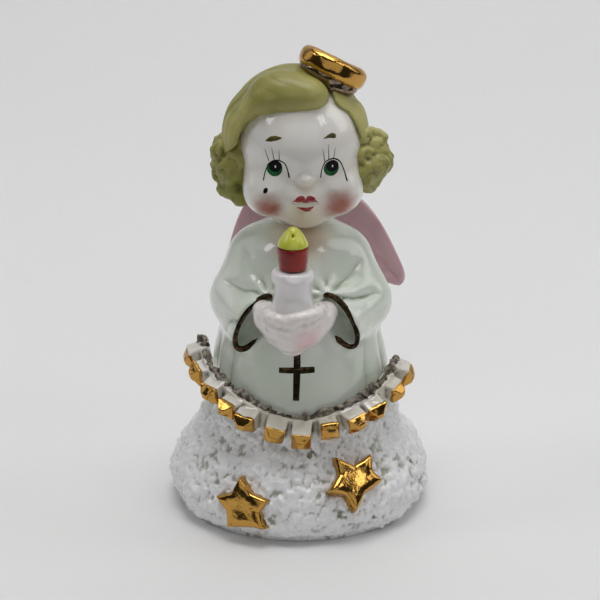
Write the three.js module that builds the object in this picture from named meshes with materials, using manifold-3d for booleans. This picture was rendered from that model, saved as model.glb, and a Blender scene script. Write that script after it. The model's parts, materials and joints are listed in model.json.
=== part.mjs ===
// Porcelain bell in the shape of a praying angel child on a snowy mound.
// Millimetres, +Z up, the figure faces -Y. "Left" and "right" are as seen from the front, so left is -X.
// Origin: centre of the foot ring, on the table.
//
// The luted clay pieces are separate solids with a small joint gap between them. Under the figure the
// body is hollow, and a bead on a wire swings in it from a ring in a wire staple.

import * as THREE from "three";
import { mergeVertices } from "three/addons/utils/BufferGeometryUtils.js";
import Module from "manifold-3d";

const wasm = await Module();
wasm.setup();

// ---- Driving dimensions -------------------------------------------------------------------------

const JOINT_GAP = 0.3; // between pieces that touch

const MOUND = { radius: 27.2, footRadius: 23.6, mouthRadius: 20.6, topZ: 18.9, segments: 36 };
const ROBE = { hemRadius: 18.4, bottomZ: MOUND.topZ + JOINT_GAP, neckZ: 58.8, depthShare: 0.95 };
const CAVITY = { radius: 15.0, topZ: 47.6 };
const RIBBON = {
  innerRadius: 16.6,
  bandRadius: 19.6,
  pleatRadius: 22.9,
  height: 4.4,
  lowestZ: 21.3,
  lowestDeg: 4.5,
  rise: 10.3,
  tilt: 1.4, // how much more the left side rises than the right
  pleatsDeg: [-77, -63.5, -49.5, -36, -24, -10, 4.5, 19, 33, 46.5, 62, 78.5],
  pleatWidthDeg: 10.2,
};
const HEAD = { centre: [0.3, -0.8, 73.6], radii: [12.1, 12.4, 13.4], turnDeg: 8 };
const HAIR = { centre: [-0.9, 0.8, 75.9], radius: 13.8 };
const HALO = { centre: [6.2, 1.6, 89.5], ringRadius: 5.1, tubeRadius: 2.05, rollDeg: 20, pitchDeg: -15 };
const CANDLE = { x: -0.1, y: -17.6, bottomZ: 44.2, topZ: 54.2, radius: 4.0 };
const FLAME = { radius: 3.05, bandTopZ: 58.8, tipZ: 62.6 };
const STAR = { tipRadius: 5.7, notchRadius: 2.75, thickness: 1.5 };
const WING_THICKNESS = 2.6;
const WING_BEVEL = 0.7;

const WIRE = 1.1; // diameter of the staple, ring and clapper wire
const STAPLE = { legSpread: 2.3, bendZ: 41.2, topZ: 45.8 }; // bendZ: the wire's centre at the bottom of the U
const RING_RADIUS = 2.7; // of its centre line
const EYE_RADIUS = 1.5; // of the centre line of the clapper wire's eye
const BEAD = { radius: 4.6, z: 11.0 };

// ---- Clay, glaze and metal colours --------------------------------------------------------------

function surface(color, roughness, metalness) {
  return new THREE.MeshStandardMaterial({ color, roughness, metalness });
}
const clay = (color, roughness = 0.12) => surface(color, roughness, 0);
const metal = (color, roughness) => surface(color, roughness, 1);

const snowGlaze = clay("#e4e5e4", 0.55);
const robeGlaze = clay("#dbe2da");
const skinGlaze = clay("#e6dedb");
const handGlaze = clay("#e9dcdc");
const candleGlaze = clay("#e2e0e4");
const hairEnamel = clay("#918f55", 0.25);
const wingLustre = clay("#b9859a", 0.2);
const redEnamel = clay("#8e2416", 0.3);
const yellowEnamel = clay("#c9cf4a", 0.3);
const trimGlaze = clay("#dedbd6");
const brightGold = metal("#c48a2c", 0.18);
const ironWire = metal("#8d8a86", 0.4);
const cementGrey = clay("#c9c4b8", 0.9);
const beadGlaze = clay("#e8e8e4");

// ---- Helpers ------------------------------------------------------------------------------------

const radians = THREE.MathUtils.degToRad;

/** A closed three.js geometry as a manifold-3d solid. */
function solidOf(geometry) {
  const bare = geometry.index ? geometry.toNonIndexed() : geometry.clone();
  bare.deleteAttribute("normal");
  bare.deleteAttribute("uv");
  const merged = mergeVertices(bare, 1e-4);
  return new wasm.Manifold(
    new wasm.Mesh({
      numProp: 3,
      vertProperties: merged.attributes.position.array,
      triVerts: new Uint32Array(merged.index.array),
    }),
  );
}

/** A manifold-3d solid as a named three.js mesh. */
function meshOf(name, solid, material) {
  const { vertProperties, triVerts } = solid.getMesh();
  const geometry = new THREE.BufferGeometry();
  geometry.setAttribute("position", new THREE.BufferAttribute(vertProperties, 3));
  geometry.setIndex(new THREE.BufferAttribute(triVerts, 1));
  geometry.computeVertexNormals();
  const mesh = new THREE.Mesh(geometry, material);
  mesh.name = name;
  return mesh;
}

/** The join of several solids. */
const join = (...solids) => solids.reduce((whole, next) => whole.add(next));

/** A solid less several others. */
const cut = (solid, ...tools) => tools.reduce((rest, tool) => rest.subtract(tool), solid);

/** A solid of revolution about Z, from [radius, z] points listed from the bottom up. */
function turned(profile, segments, closed = false) {
  const points = profile.map(([radius, z]) => new THREE.Vector2(radius, z));
  if (closed) points.push(points[0].clone());
  return new THREE.LatheGeometry(points, segments).rotateX(Math.PI / 2);
}

/** Points on a smooth curve through [radius, z] points, moved outwards by grow. */
function smoothProfile(points, count, grow = 0) {
  const curve = new THREE.SplineCurve(points.map(([radius, z]) => new THREE.Vector2(radius, z)));
  return Array.from({ length: count + 1 }, (_, i) => {
    const point = curve.getPoint(i / count);
    const along = curve.getTangent(i / count);
    return [Math.max(0, point.x + grow * along.y), point.y - grow * along.x];
  });
}

/** An ellipsoid with its poles on Z. */
function ball([x, y, z], radii, segments = 20, rotation = [0, 0, 0]) {
  const [rx, ry, rz] = typeof radii === "number" ? [radii, radii, radii] : radii;
  const geometry = new THREE.SphereGeometry(1, segments, Math.round(segments * 0.6));
  geometry.rotateX(Math.PI / 2);
  geometry.scale(rx, ry, rz);
  geometry.applyMatrix4(new THREE.Matrix4().makeRotationFromEuler(new THREE.Euler(...rotation)));
  return solidOf(geometry.translate(x, y, z));
}

/** A tapered rod with round ends, from one centre to the other. */
function limb(from, to, startRadius, endRadius, segments = 16) {
  const start = new THREE.Vector3(...from);
  const axis = new THREE.Vector3(...to).sub(start);
  const length = axis.length();
  const arc = 4; // steps in each round end
  const profile = [];
  for (let i = 0; i <= arc; i++) {
    const angle = (i / arc) * (Math.PI / 2);
    profile.push([startRadius * Math.sin(angle), -startRadius * Math.cos(angle)]);
  }
  for (let i = 0; i <= arc; i++) {
    const angle = (i / arc) * (Math.PI / 2);
    profile.push([endRadius * Math.cos(angle), length + endRadius * Math.sin(angle)]);
  }
  profile[0][0] = 0;
  profile[profile.length - 1][0] = 0;
  const turn = new THREE.Quaternion().setFromUnitVectors(new THREE.Vector3(0, 0, 1), axis.normalize());
  const geometry = turned(profile, segments);
  return solidOf(geometry.applyQuaternion(turn).translate(start.x, start.y, start.z));
}

/** A round wire along a curve. */
function wire(curve, steps) {
  const section = new THREE.Shape().absarc(0, 0, WIRE / 2, 0, 2 * Math.PI);
  return solidOf(new THREE.ExtrudeGeometry(section, { extrudePath: curve, steps, curveSegments: 4 }));
}

/** +1 on the right of the figure and -1 on the left, with the name's ending. */
const SIDES = [
  [-1, "left"],
  [1, "right"],
];

// ---- Mound: a wide, low cloud of snow, open below and above --------------------------------------

const moundOutline = [
  [MOUND.footRadius, 0],
  [25.8, 1.4],
  [MOUND.radius, 4.6],
  [26.7, 8.2],
  [24.9, 11.9],
  [22.2, 15.2],
  [19.9, 17.4],
  [18.6, MOUND.topZ],
];
const moundCavity = [
  [15.6, MOUND.topZ],
  [17.7, 16.6],
  [20.9, 12.8],
  [23.2, 8.4],
  [23.5, 4.6],
  [MOUND.mouthRadius, 0],
];

function moundShell() {
  const outside = smoothProfile(moundOutline, 9);
  const inside = smoothProfile(moundCavity, 6);
  return solidOf(turned([...outside, ...inside], MOUND.segments, true));
}

/** The mound without its cavity, for cutting what rests on it. */
function moundBlank(grow) {
  const outside = smoothProfile(moundOutline, 9, grow);
  return solidOf(turned([[0, -grow], ...outside, [0, MOUND.topZ + grow]], MOUND.segments));
}

// ---- Robe: the bell's body, fluted towards the hem ----------------------------------------------

const robeOutline = [
  [ROBE.hemRadius, ROBE.bottomZ],
  [18.6, 23.0],
  [18.0, 28.0],
  [16.8, 34.0],
  [15.4, 39.5],
  [14.4, 45.0],
  [13.2, 50.0],
  [11.2, 54.6],
  [8.0, 57.4],
  [4.6, 58.5],
  [0, ROBE.neckZ],
];
const FLUTES = 12;
const FLUTE_DEPTH = 0.55;

/** Flutes run round the sides and back of the skirt and leave the front panel smooth. */
function flute(angle, z) {
  const fromFront = Math.abs(Math.atan2(Math.sin(angle + Math.PI / 2), Math.cos(angle + Math.PI / 2)));
  const beside = THREE.MathUtils.smoothstep(fromFront, 0.55, 1.0);
  const below = 1 - THREE.MathUtils.smoothstep(z, 27, 44);
  return FLUTE_DEPTH * beside * below * Math.cos(FLUTES * angle);
}

function robeBlank(grow) {
  const outside = smoothProfile(robeOutline, 11, grow);
  const closed = [[0, ROBE.bottomZ - grow], ...outside.slice(0, -1), [0, ROBE.neckZ + grow]];
  const geometry = turned(closed, 4 * FLUTES);
  const position = geometry.attributes.position;
  for (let i = 0; i < position.count; i++) {
    const [x, y, z] = [position.getX(i), position.getY(i), position.getZ(i)];
    const radius = Math.hypot(x, y);
    if (radius < 1e-6) continue;
    const share = 1 + flute(Math.atan2(y, x), z) / radius;
    position.setXYZ(i, x * share, y * share * ROBE.depthShare, z);
  }
  return solidOf(geometry);
}

function robeShell() {
  const inside = smoothProfile(
    [
      [CAVITY.radius, ROBE.bottomZ - 1],
      [CAVITY.radius, 24],
      [13.6, 32],
      [11.4, 40],
      [8.0, 46],
      [0, CAVITY.topZ],
    ],
    7,
  );
  const cavity = turned([[0, ROBE.bottomZ - 1], ...inside], 24).scale(1, ROBE.depthShare, 1);
  return cut(robeBlank(0), solidOf(cavity));
}

// ---- Arms: full sleeves, open at the cuff, and hands clasped round the candle ---------------------

const CUFF = { x: 8.6, y: -13.2, z: 41.8, radii: [3.4, 6.4], lean: 0.5, depth: 4.5 };
const ELBOW = { x: 11.6, y: -3.2, z: 43.2 };

const forearmLength = Math.hypot(CUFF.x - ELBOW.x, CUFF.y - ELBOW.y, CUFF.z - ELBOW.z);

/** An oval cone along the forearm, between two distances from the elbow. The shares scale the cuff's oval. */
function forearmCone(side, [start, startShare], [end, endShare]) {
  const cone = new THREE.CylinderGeometry(endShare, startShare, end - start, 18);
  cone.translate(0, (start + end) / 2, 0).rotateX(Math.PI / 2);
  cone.scale(CUFF.radii[0], CUFF.radii[1], 1).rotateZ(side * CUFF.lean);
  const reach = new THREE.Vector3(side * (CUFF.x - ELBOW.x), CUFF.y - ELBOW.y, CUFF.z - ELBOW.z);
  const forward = reach.normalize();
  const across = new THREE.Vector3(0, 0, 1).cross(forward).normalize();
  const upwards = forward.clone().cross(across);
  cone.applyMatrix4(new THREE.Matrix4().makeBasis(across, upwards, forward));
  return solidOf(cone.translate(side * ELBOW.x, ELBOW.y, ELBOW.z));
}

function sleeve(side) {
  const upperArm = limb([side * 8.2, -0.4, 52.2], [side * 11.9, -2.6, 44.0], 5.6, 6.0);
  const elbow = ball([side * 12.2, -3.6, 42.8], [5.6, 5.8, 6.4], 16);
  const forearm = forearmCone(side, [0, 0.98], [forearmLength, 1]);
  const hollow = forearmCone(side, [forearmLength - CUFF.depth, 0.4], [forearmLength + 0.5, 0.8]);
  return cut(join(upperArm, elbow, forearm), hollow, robeBlank(JOINT_GAP));
}

function candleBlank(grow) {
  const outside = smoothProfile(
    [
      [4.3, CANDLE.bottomZ],
      [4.3, 46.0],
      [3.75, 49.0],
      [3.75, 51.2],
      [CANDLE.radius, 53.2],
      [3.2, CANDLE.topZ],
    ],
    8,
    grow,
  );
  const closed = [[0, CANDLE.bottomZ - grow], ...outside, [0, CANDLE.topZ + grow]];
  return solidOf(turned(closed, 20).translate(CANDLE.x, CANDLE.y, 0));
}

const candle = () => cut(candleBlank(0), robeBlank(JOINT_GAP));

function hand(side) {
  const palm = ball([side * 2.6, -17.3, 42.2], [4.2, 4.5, 5.7], 16);
  const wrist = limb([side * 6.0, -15.0, 43.6], [side * 3.6, -16.6, 42.4], 2.1, 3.4, 12);
  const otherHalf = new THREE.BoxGeometry(20, 30, 30).translate(-side * (10 - JOINT_GAP / 2), -16, 43);
  return cut(join(palm, wrist), solidOf(otherHalf), candleBlank(JOINT_GAP), robeBlank(JOINT_GAP));
}

function flameBand() {
  const outside = [
    [0, CANDLE.topZ + JOINT_GAP],
    [FLAME.radius - 0.5, CANDLE.topZ + JOINT_GAP],
    [FLAME.radius - 0.1, 55.4],
    [FLAME.radius, FLAME.bandTopZ],
    [0, FLAME.bandTopZ],
  ];
  return solidOf(turned(outside, 20).translate(CANDLE.x, CANDLE.y, 0));
}

function flameTip() {
  const bottom = FLAME.bandTopZ + JOINT_GAP;
  const outside = [
    [0, bottom],
    [FLAME.radius - 0.1, bottom],
    [2.3, 60.6],
    [1.2, 61.9],
    [0.45, 62.5],
    [0, FLAME.tipZ],
  ];
  return solidOf(turned(outside, 20).translate(CANDLE.x, CANDLE.y, 0));
}

// ---- Head, hair and halo ------------------------------------------------------------------------

/** Turns a solid about the head's vertical axis, so that it faces a little to the right. */
function turnHead(solid) {
  const [x, y] = HEAD.centre;
  return solid.translate([-x, -y, 0]).rotate([0, 0, HEAD.turnDeg]).translate([x, y, 0]);
}

function headBlank(grow) {
  const skull = ball(HEAD.centre, HEAD.radii.map((radius) => radius + grow), 22);
  const cheeks = SIDES.map(([side]) => ball([0.3 + side * 5.9, -6.6, 66.0], 5.5 + grow, 14));
  const chin = ball([0.3, -8.0, 63.4], 3.6 + grow, 12);
  const nose = ball([0.3, -12.6, 69.9], [1.6 + grow, 1.6 + grow, 1.3 + grow], 10);
  return turnHead(join(skull, ...cheeks, chin, nose));
}

function head() {
  const neck = limb([0, 0, 58.6], [0, -0.4, 64.0], 5.4, 5.4, 14);
  return cut(join(headBlank(0), neck), robeBlank(JOINT_GAP));
}

/** The hair's outer form: a round cap, fuller over the right temple and down the nape. */
function hairBlank(grow) {
  const crown = ball(HAIR.centre, HAIR.radius + grow, 22);
  const temple = ball([4.4, 0.8, 79.6], 8.6 + grow, 14);
  const nape = ball([0, 4.6, 68.6], [11.8 + grow, 8.8 + grow, 7.0 + grow], 16);
  return join(crown, temple, nape);
}

function hairCap() {
  const faceWindow = ball([0.9, -11.2, 71.0], [11.9, 9.4, 14.8], 16);
  const below = new THREE.BoxGeometry(40, 20, 12).translate(0, -9.8, 61);
  return cut(hairBlank(0), headBlank(JOINT_GAP), faceWindow, solidOf(below));
}

/** The swept lock over the forehead, from the parting to the left temple: [x, y, z, radius]. */
const FRINGE = [
  [6.0, -8.2, 87.0, 1.9],
  [1.0, -9.9, 86.2, 3.1],
  [-4.6, -9.4, 84.3, 3.2],
  [-9.2, -6.8, 80.8, 2.6],
];

function fringeLock() {
  const lengths = FRINGE.slice(1).map(([x, y, z, radius], i) => {
    const [startX, startY, startZ, startRadius] = FRINGE[i];
    return limb([startX, startY, startZ], [x, y, z], startRadius, radius, 12);
  });
  return cut(join(...lengths), hairBlank(JOINT_GAP), headBlank(JOINT_GAP));
}

const CURLS = {
  left: [
    [-14.6, 0.6, 72.2, 3.2],
    [-13.6, -1.6, 68.6, 3.5],
    [-14.2, 2.2, 67.6, 3.4],
    [-12.4, 0.4, 64.9, 3.1],
  ],
  right: [
    [14.0, 0.2, 74.4, 3.1],
    [14.7, -1.2, 71.0, 3.3],
    [14.4, 2.2, 70.0, 3.5],
    [13.5, 0.4, 67.4, 2.9],
  ],
};

function curls(ending) {
  const balls = CURLS[ending].map(([x, y, z, radius]) => ball([x, y, z], radius, 12));
  return cut(join(...balls), hairBlank(JOINT_GAP), headBlank(JOINT_GAP), robeBlank(JOINT_GAP));
}

function halo() {
  const ring = new THREE.TorusGeometry(HALO.ringRadius, HALO.tubeRadius, 10, 24);
  const tilt = new THREE.Euler(radians(HALO.pitchDeg), radians(HALO.rollDeg), 0);
  ring.applyMatrix4(new THREE.Matrix4().makeRotationFromEuler(tilt)).translate(...HALO.centre);
  return cut(solidOf(ring), hairBlank(JOINT_GAP));
}

// ---- Wings --------------------------------------------------------------------------------------

/** Outline of the right wing from behind the shoulder, [x, z] with the root at x = 0. */
const wingOutline = [
  [0.6, 47.5],
  [0.8, 55.5],
  [5.5, 59.8],
  [10.4, 59.4],
  [14.8, 54.2],
  [18.6, 46.8],
  [20.4, 42.0],
  [18.4, 39.8],
  [11.6, 41.4],
  [5.0, 44.4],
];
const WINGS = {
  left: { rootX: 0.2, rootY: 12.6, sweepDeg: 18, spread: 0.88 },
  right: { rootX: 1.0, rootY: 12.6, sweepDeg: 12, spread: 1 },
};

function wing(side, ending) {
  const { rootX, rootY, sweepDeg, spread } = WINGS[ending];
  const edge = new THREE.SplineCurve(wingOutline.map(([x, z]) => new THREE.Vector2(side * spread * x, z)));
  const outline = new THREE.Shape(edge.getPoints(28));
  const slab = new THREE.ExtrudeGeometry(outline, {
    depth: WING_THICKNESS - 2 * WING_BEVEL,
    bevelThickness: WING_BEVEL,
    bevelSize: WING_BEVEL,
    bevelOffset: -WING_BEVEL,
    bevelSegments: 1,
  });
  slab.rotateX(Math.PI / 2).rotateZ(side * radians(sweepDeg)).translate(rootX, rootY, 0);
  return cut(solidOf(slab), robeBlank(JOINT_GAP), hairBlank(JOINT_GAP), headBlank(JOINT_GAP));
}

// ---- Pleated ribbon round the front of the hem ---------------------------------------------------

/** Height of the ribbon's middle, lowest in front. The angle is in radians from the front. */
function ribbonZ(angle) {
  const fromLowest = angle - radians(RIBBON.lowestDeg);
  const climb = RIBBON.rise - RIBBON.tilt * Math.sin(fromLowest);
  return RIBBON.lowestZ + climb * (1 - Math.cos(fromLowest)) ** 0.7;
}

const aroundFront = (radius, angle) => new THREE.Vector2(radius * Math.sin(angle), -radius * Math.cos(angle));

function ribbon() {
  const { innerRadius, bandRadius, pleatRadius, pleatsDeg, pleatWidthDeg } = RIBBON;
  const inner = [];
  const outer = [];
  for (const middleDeg of pleatsDeg) {
    const rise = radians(middleDeg - pleatWidthDeg / 2);
    const fall = radians(middleDeg + pleatWidthDeg / 2);
    outer.push(aroundFront(bandRadius, rise), aroundFront(pleatRadius, rise));
    outer.push(aroundFront(pleatRadius, fall), aroundFront(bandRadius, fall));
    inner.push(aroundFront(innerRadius, rise), aroundFront(innerRadius, fall));
  }
  const plan = new THREE.Shape([...outer, ...inner.reverse()]);
  const strip = new THREE.ExtrudeGeometry(plan, { depth: RIBBON.height, bevelEnabled: false });
  const position = strip.attributes.position;
  for (let i = 0; i < position.count; i++) {
    const angle = Math.atan2(position.getX(i), -position.getY(i));
    position.setZ(i, position.getZ(i) - RIBBON.height / 2 + ribbonZ(angle));
  }
  return cut(solidOf(strip), robeBlank(JOINT_GAP), moundBlank(JOINT_GAP));
}

// ---- Gilt stars on the mound --------------------------------------------------------------------

const STARS = {
  left: { angleDeg: -20.5, z: 8.6, radius: 25.9, leanDeg: 12, spinDeg: 0 },
  right: { angleDeg: 29.5, z: 13.2, radius: 23.6, leanDeg: 38, spinDeg: 36 },
};

function star(ending) {
  const { angleDeg, z, radius, leanDeg, spinDeg } = STARS[ending];
  const points = Array.from({ length: 10 }, (_, i) => {
    const reach = i % 2 ? STAR.notchRadius : STAR.tipRadius;
    const angle = Math.PI / 2 + radians(spinDeg) + (i * Math.PI) / 5;
    return new THREE.Vector2(reach * Math.cos(angle), reach * Math.sin(angle));
  });
  const roots = 2.2; // length of clay behind the tile, cut to the mound's surface
  const depth = STAR.thickness + roots;
  const tile = new THREE.ExtrudeGeometry(new THREE.Shape(points), { depth, bevelEnabled: false });
  tile.translate(0, 0, -roots).rotateX(Math.PI / 2 - radians(leanDeg)).rotateZ(radians(angleDeg));
  const place = aroundFront(radius, radians(angleDeg));
  return cut(solidOf(tile.translate(place.x, place.y, z)), moundBlank(JOINT_GAP));
}

// ---- Clapper: cement plug, staple, ring, wire and bead -------------------------------------------

/** A pat of cement in the top of the cavity, which holds the staple's legs. */
function cementPlug() {
  const pat = [
    [0, 44.6],
    [3.6, 44.6],
    [4.6, 45.4],
    [4.2, 46.4],
    [0, 46.9],
  ];
  const holeRadius = WIRE / 2 + JOINT_GAP;
  const holes = SIDES.map(([side]) => {
    const y = side * STAPLE.legSpread;
    return limb([0, y, STAPLE.bendZ], [0, y, STAPLE.topZ + JOINT_GAP], holeRadius, holeRadius, 10);
  });
  return cut(solidOf(turned(pat, 18)), ...holes);
}

/** A U of wire in the YZ plane, its legs up in the cement. */
function staple() {
  const { legSpread, bendZ, topZ } = STAPLE;
  const bendCentreZ = bendZ + legSpread;
  const steps = 8;
  const bend = Array.from({ length: steps + 1 }, (_, i) => {
    const angle = Math.PI + (i * Math.PI) / steps;
    return new THREE.Vector3(0, legSpread * Math.cos(angle), bendCentreZ + legSpread * Math.sin(angle));
  });
  const ends = SIDES.map(([side]) => new THREE.Vector3(0, side * legSpread, topZ));
  return wire(new THREE.CatmullRomCurve3([ends[0], ...bend, ends[1]]), 20);
}

// Each loop hangs on the wire above it: their centre lines are a wire and a gap apart.
const ringCentreZ = STAPLE.bendZ + WIRE + JOINT_GAP - RING_RADIUS;
const ringBottomZ = ringCentreZ - RING_RADIUS;
const eyeCentreZ = ringBottomZ + WIRE + JOINT_GAP - EYE_RADIUS;

/** The ring that hangs in the staple, in the XZ plane. */
function clapperRing() {
  const ring = new THREE.TorusGeometry(RING_RADIUS, WIRE / 2, 8, 20);
  return solidOf(ring.rotateX(Math.PI / 2).translate(0, 0, ringCentreZ));
}

const STEM_FOOT_Z = BEAD.z + 1.2; // the stem ends inside the bead

/** An eye in the YZ plane round the ring's lowest part, and the straight stem into the bead. */
function clapperWire() {
  const eye = new THREE.TorusGeometry(EYE_RADIUS, WIRE / 2, 8, 16).rotateY(Math.PI / 2);
  const stem = limb([0, 0, eyeCentreZ - EYE_RADIUS], [0, 0, STEM_FOOT_Z], WIRE / 2, WIRE / 2, 10);
  return join(solidOf(eye.translate(0, 0, eyeCentreZ)), stem);
}

/** A glazed bead with a bore for the stem. */
function clapperBead() {
  const body = ball([0, 0, BEAD.z], BEAD.radius, 16);
  const boreRadius = WIRE / 2 + JOINT_GAP;
  const bore = limb([0, 0, STEM_FOOT_Z], [0, 0, BEAD.z + 2 * BEAD.radius], boreRadius, boreRadius, 10);
  return cut(body, bore);
}

// ---- Assembly -----------------------------------------------------------------------------------

const bell = new THREE.Group();
bell.name = "porcelain_angel_bell";

bell.add(
  meshOf("cloud_base", moundShell(), snowGlaze),
  meshOf("robe_body", robeShell(), robeGlaze),
  meshOf("candle", candle(), candleGlaze),
  meshOf("flame_band", flameBand(), redEnamel),
  meshOf("flame_tip", flameTip(), yellowEnamel),
  meshOf("head", head(), skinGlaze),
  meshOf("hair_cap", hairCap(), hairEnamel),
  meshOf("fringe_lock", fringeLock(), hairEnamel),
  meshOf("halo", halo(), brightGold),
  meshOf("hem_ribbon", ribbon(), trimGlaze),
  meshOf("hanger_cement", cementPlug(), cementGrey),
  meshOf("hanger_staple", staple(), ironWire),
  meshOf("clapper_ring", clapperRing(), ironWire),
  meshOf("clapper_wire", clapperWire(), ironWire),
  meshOf("clapper_bead", clapperBead(), beadGlaze),
);
for (const [side, ending] of SIDES) {
  bell.add(
    meshOf(`sleeve_${ending}`, sleeve(side), robeGlaze),
    meshOf(`hand_${ending}`, hand(side), handGlaze),
    meshOf(`curls_${ending}`, curls(ending), hairEnamel),
    meshOf(`wing_${ending}`, wing(side, ending), wingLustre),
    meshOf(`star_${ending}`, star(ending), brightGold),
  );
}

export default bell;
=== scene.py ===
"""The looks of the porcelain angel bell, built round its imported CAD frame.

Shapes are distance fields in millimetres in the frame's own axes: +X right as seen from the front, -Y to the
front, +Z up. They are meshed here and turned into metres at the end. Some are placed from their CAD node's
box, and the rest at points given in the same axes.
"""

import itertools
import json
import math

import bpy
import numpy as np
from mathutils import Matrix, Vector
from mathutils.bvhtree import BVHTree


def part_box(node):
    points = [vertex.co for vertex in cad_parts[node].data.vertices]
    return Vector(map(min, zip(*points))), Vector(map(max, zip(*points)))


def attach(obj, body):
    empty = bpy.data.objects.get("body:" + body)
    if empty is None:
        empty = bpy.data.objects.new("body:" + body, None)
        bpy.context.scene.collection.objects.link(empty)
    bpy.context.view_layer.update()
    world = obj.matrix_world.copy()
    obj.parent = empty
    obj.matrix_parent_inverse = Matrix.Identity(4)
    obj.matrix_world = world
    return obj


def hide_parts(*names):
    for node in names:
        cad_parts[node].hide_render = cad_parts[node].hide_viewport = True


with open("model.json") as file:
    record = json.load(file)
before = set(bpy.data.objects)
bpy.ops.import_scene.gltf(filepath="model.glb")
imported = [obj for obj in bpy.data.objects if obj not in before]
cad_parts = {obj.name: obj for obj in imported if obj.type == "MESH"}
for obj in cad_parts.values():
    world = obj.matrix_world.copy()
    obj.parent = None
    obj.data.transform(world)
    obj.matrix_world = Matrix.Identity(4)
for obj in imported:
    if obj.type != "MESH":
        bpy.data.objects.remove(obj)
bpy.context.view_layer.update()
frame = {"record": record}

MM = 0.001


# ---- Places taken from the frame ----


def corners(node):
    """Lowest and highest corner of a CAD node, in millimetres."""
    return tuple(np.array(corner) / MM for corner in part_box(node))


def middle(node):
    low, high = corners(node)
    return (low + high) / 2


MOUND_LOW, MOUND_HIGH = corners("cloud_base")
MOUND_RADIUS = (MOUND_HIGH[0] - MOUND_LOW[0]) / 2
ROBE_BOTTOM, ROBE_TOP = (corner[2] for corner in corners("robe_body"))
HEAD = np.array([0.3, middle("head")[1] + 0.5, corners("head")[1][2] - 13.4])
HAIR = np.array([-0.9, HEAD[1] + 1.6, corners("hair_cap")[1][2] - 13.8])
CANDLE = np.array([middle("candle")[0], middle("candle")[1], corners("candle")[1][2]])
HALO = middle("halo") - (0, 0, 0.4)
PIVOT = np.array(frame["record"]["behaviour"]["joints"][0]["pos_m"]) / MM
BEAD = middle("clapper_bead")


# ---- Small vector and noise tools ----


def size_of(v):
    return np.sqrt(np.einsum("ij,ij->i", v, v))


def ramp(value, start, end):
    """0 before start, 1 after end and smooth between them."""
    share = np.clip((value - start) / (end - start), 0, 1)
    return share * share * (3 - 2 * share)


def turned(yaw=0, pitch=0, roll=0):
    """Rotation matrix: roll about Y, then pitch about X, then yaw about Z, in degrees."""
    a, b, c = (math.radians(angle) for angle in (yaw, pitch, roll))
    about_z = np.array([[math.cos(a), -math.sin(a), 0], [math.sin(a), math.cos(a), 0], [0, 0, 1]])
    about_x = np.array([[1, 0, 0], [0, math.cos(b), -math.sin(b)], [0, math.sin(b), math.cos(b)]])
    about_y = np.array([[math.cos(c), 0, math.sin(c)], [0, 1, 0], [-math.sin(c), 0, math.cos(c)]])
    return about_z @ about_x @ about_y


def hashed(cells, seed):
    """A repeatable random number from 0 to 1 for each integer cell."""
    mixed = cells[:, 0] * 73856093 ^ cells[:, 1] * 19349663 ^ cells[:, 2] * 83492791 ^ (seed * 2654435761)
    mixed = (mixed ^ (mixed >> 13)) * 1274126177 & 0xFFFFFFFF
    return ((mixed ^ (mixed >> 16)) & 0xFFFF) / 65535.0


def noise(p, width, seed=1):
    """Smooth random values from -1 to 1 that change over about that width."""
    q = p / width
    cell = np.floor(q).astype(np.int64)
    share = q - cell
    share = share * share * (3 - 2 * share)
    total = np.zeros(len(p))
    for corner in itertools.product((0, 1), repeat=3):
        weight = np.prod(np.where(corner, share, 1 - share), axis=1)
        total += weight * hashed(cell + np.array(corner), seed)
    return 2 * total - 1


def grains(p, spacing, seed):
    """Height of round grains of random size scattered through space, where they cut the surface."""
    q = p / spacing
    cell = np.floor(q).astype(np.int64)
    height = np.zeros(len(p))
    for step in itertools.product((-1, 0, 1), repeat=3):
        near = cell + np.array(step)
        centre = near + np.stack([hashed(near, seed + axis) for axis in range(3)], 1)
        radius = 0.35 + 0.45 * hashed(near, seed + 3)
        away = size_of(q - centre)
        height = np.maximum(height, np.sqrt(np.clip(radius**2 - away**2, 0, None)))
    return height * spacing


# ---- Distance fields ----


def smooth_join(a, b, width):
    share = np.clip(0.5 + 0.5 * (b - a) / width, 0, 1)
    return b + (a - b) * share - width * share * (1 - share)


def join_all(fields, width):
    total = fields[0]
    for field in fields[1:]:
        total = smooth_join(total, field, width)
    return total


def smooth_meet(a, b, width):
    return -smooth_join(-a, -b, width)


def smooth_cut(a, b, width):
    return smooth_meet(a, -b, width)


def ellipsoid(p, centre, radii, turn=None):
    q = p - np.array(centre)
    if turn is not None:
        q = q @ turn
    radii = np.array(radii, float)
    near = size_of(q / radii)
    return near * (near - 1) / np.maximum(size_of(q / radii**2), 1e-9)


def rod(p, start, end, start_radius, end_radius):
    start, end = np.array(start, float), np.array(end, float)
    axis = end - start
    share = np.clip((p - start) @ axis / (axis @ axis), 0, 1)
    return size_of(p - start - share[:, None] * axis) - (start_radius + (end_radius - start_radius) * share)


def chain(p, points, radii, width=0.5):
    """A bent rod through several points, with a radius at each."""
    parts = [
        rod(p, points[i], points[i + 1], radii[i], radii[i + 1]) for i in range(len(points) - 1)
    ]
    return join_all(parts, width)


def smooth_curve(points, count):
    """Points on a Catmull-Rom curve through the given ones."""
    points = np.array(points, float)
    padded = np.vstack([2 * points[0] - points[1], points, 2 * points[-1] - points[-2]])
    where = np.linspace(0, len(points) - 1 - 1e-9, count)
    index = where.astype(int)
    t = (where - index)[:, None]
    a, b, c, d = (padded[index + k] for k in range(4))
    return 0.5 * (2 * b + (c - a) * t + (2 * a - 5 * b + 4 * c - d) * t**2 + (3 * b - a - 3 * c + d) * t**3)


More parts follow.
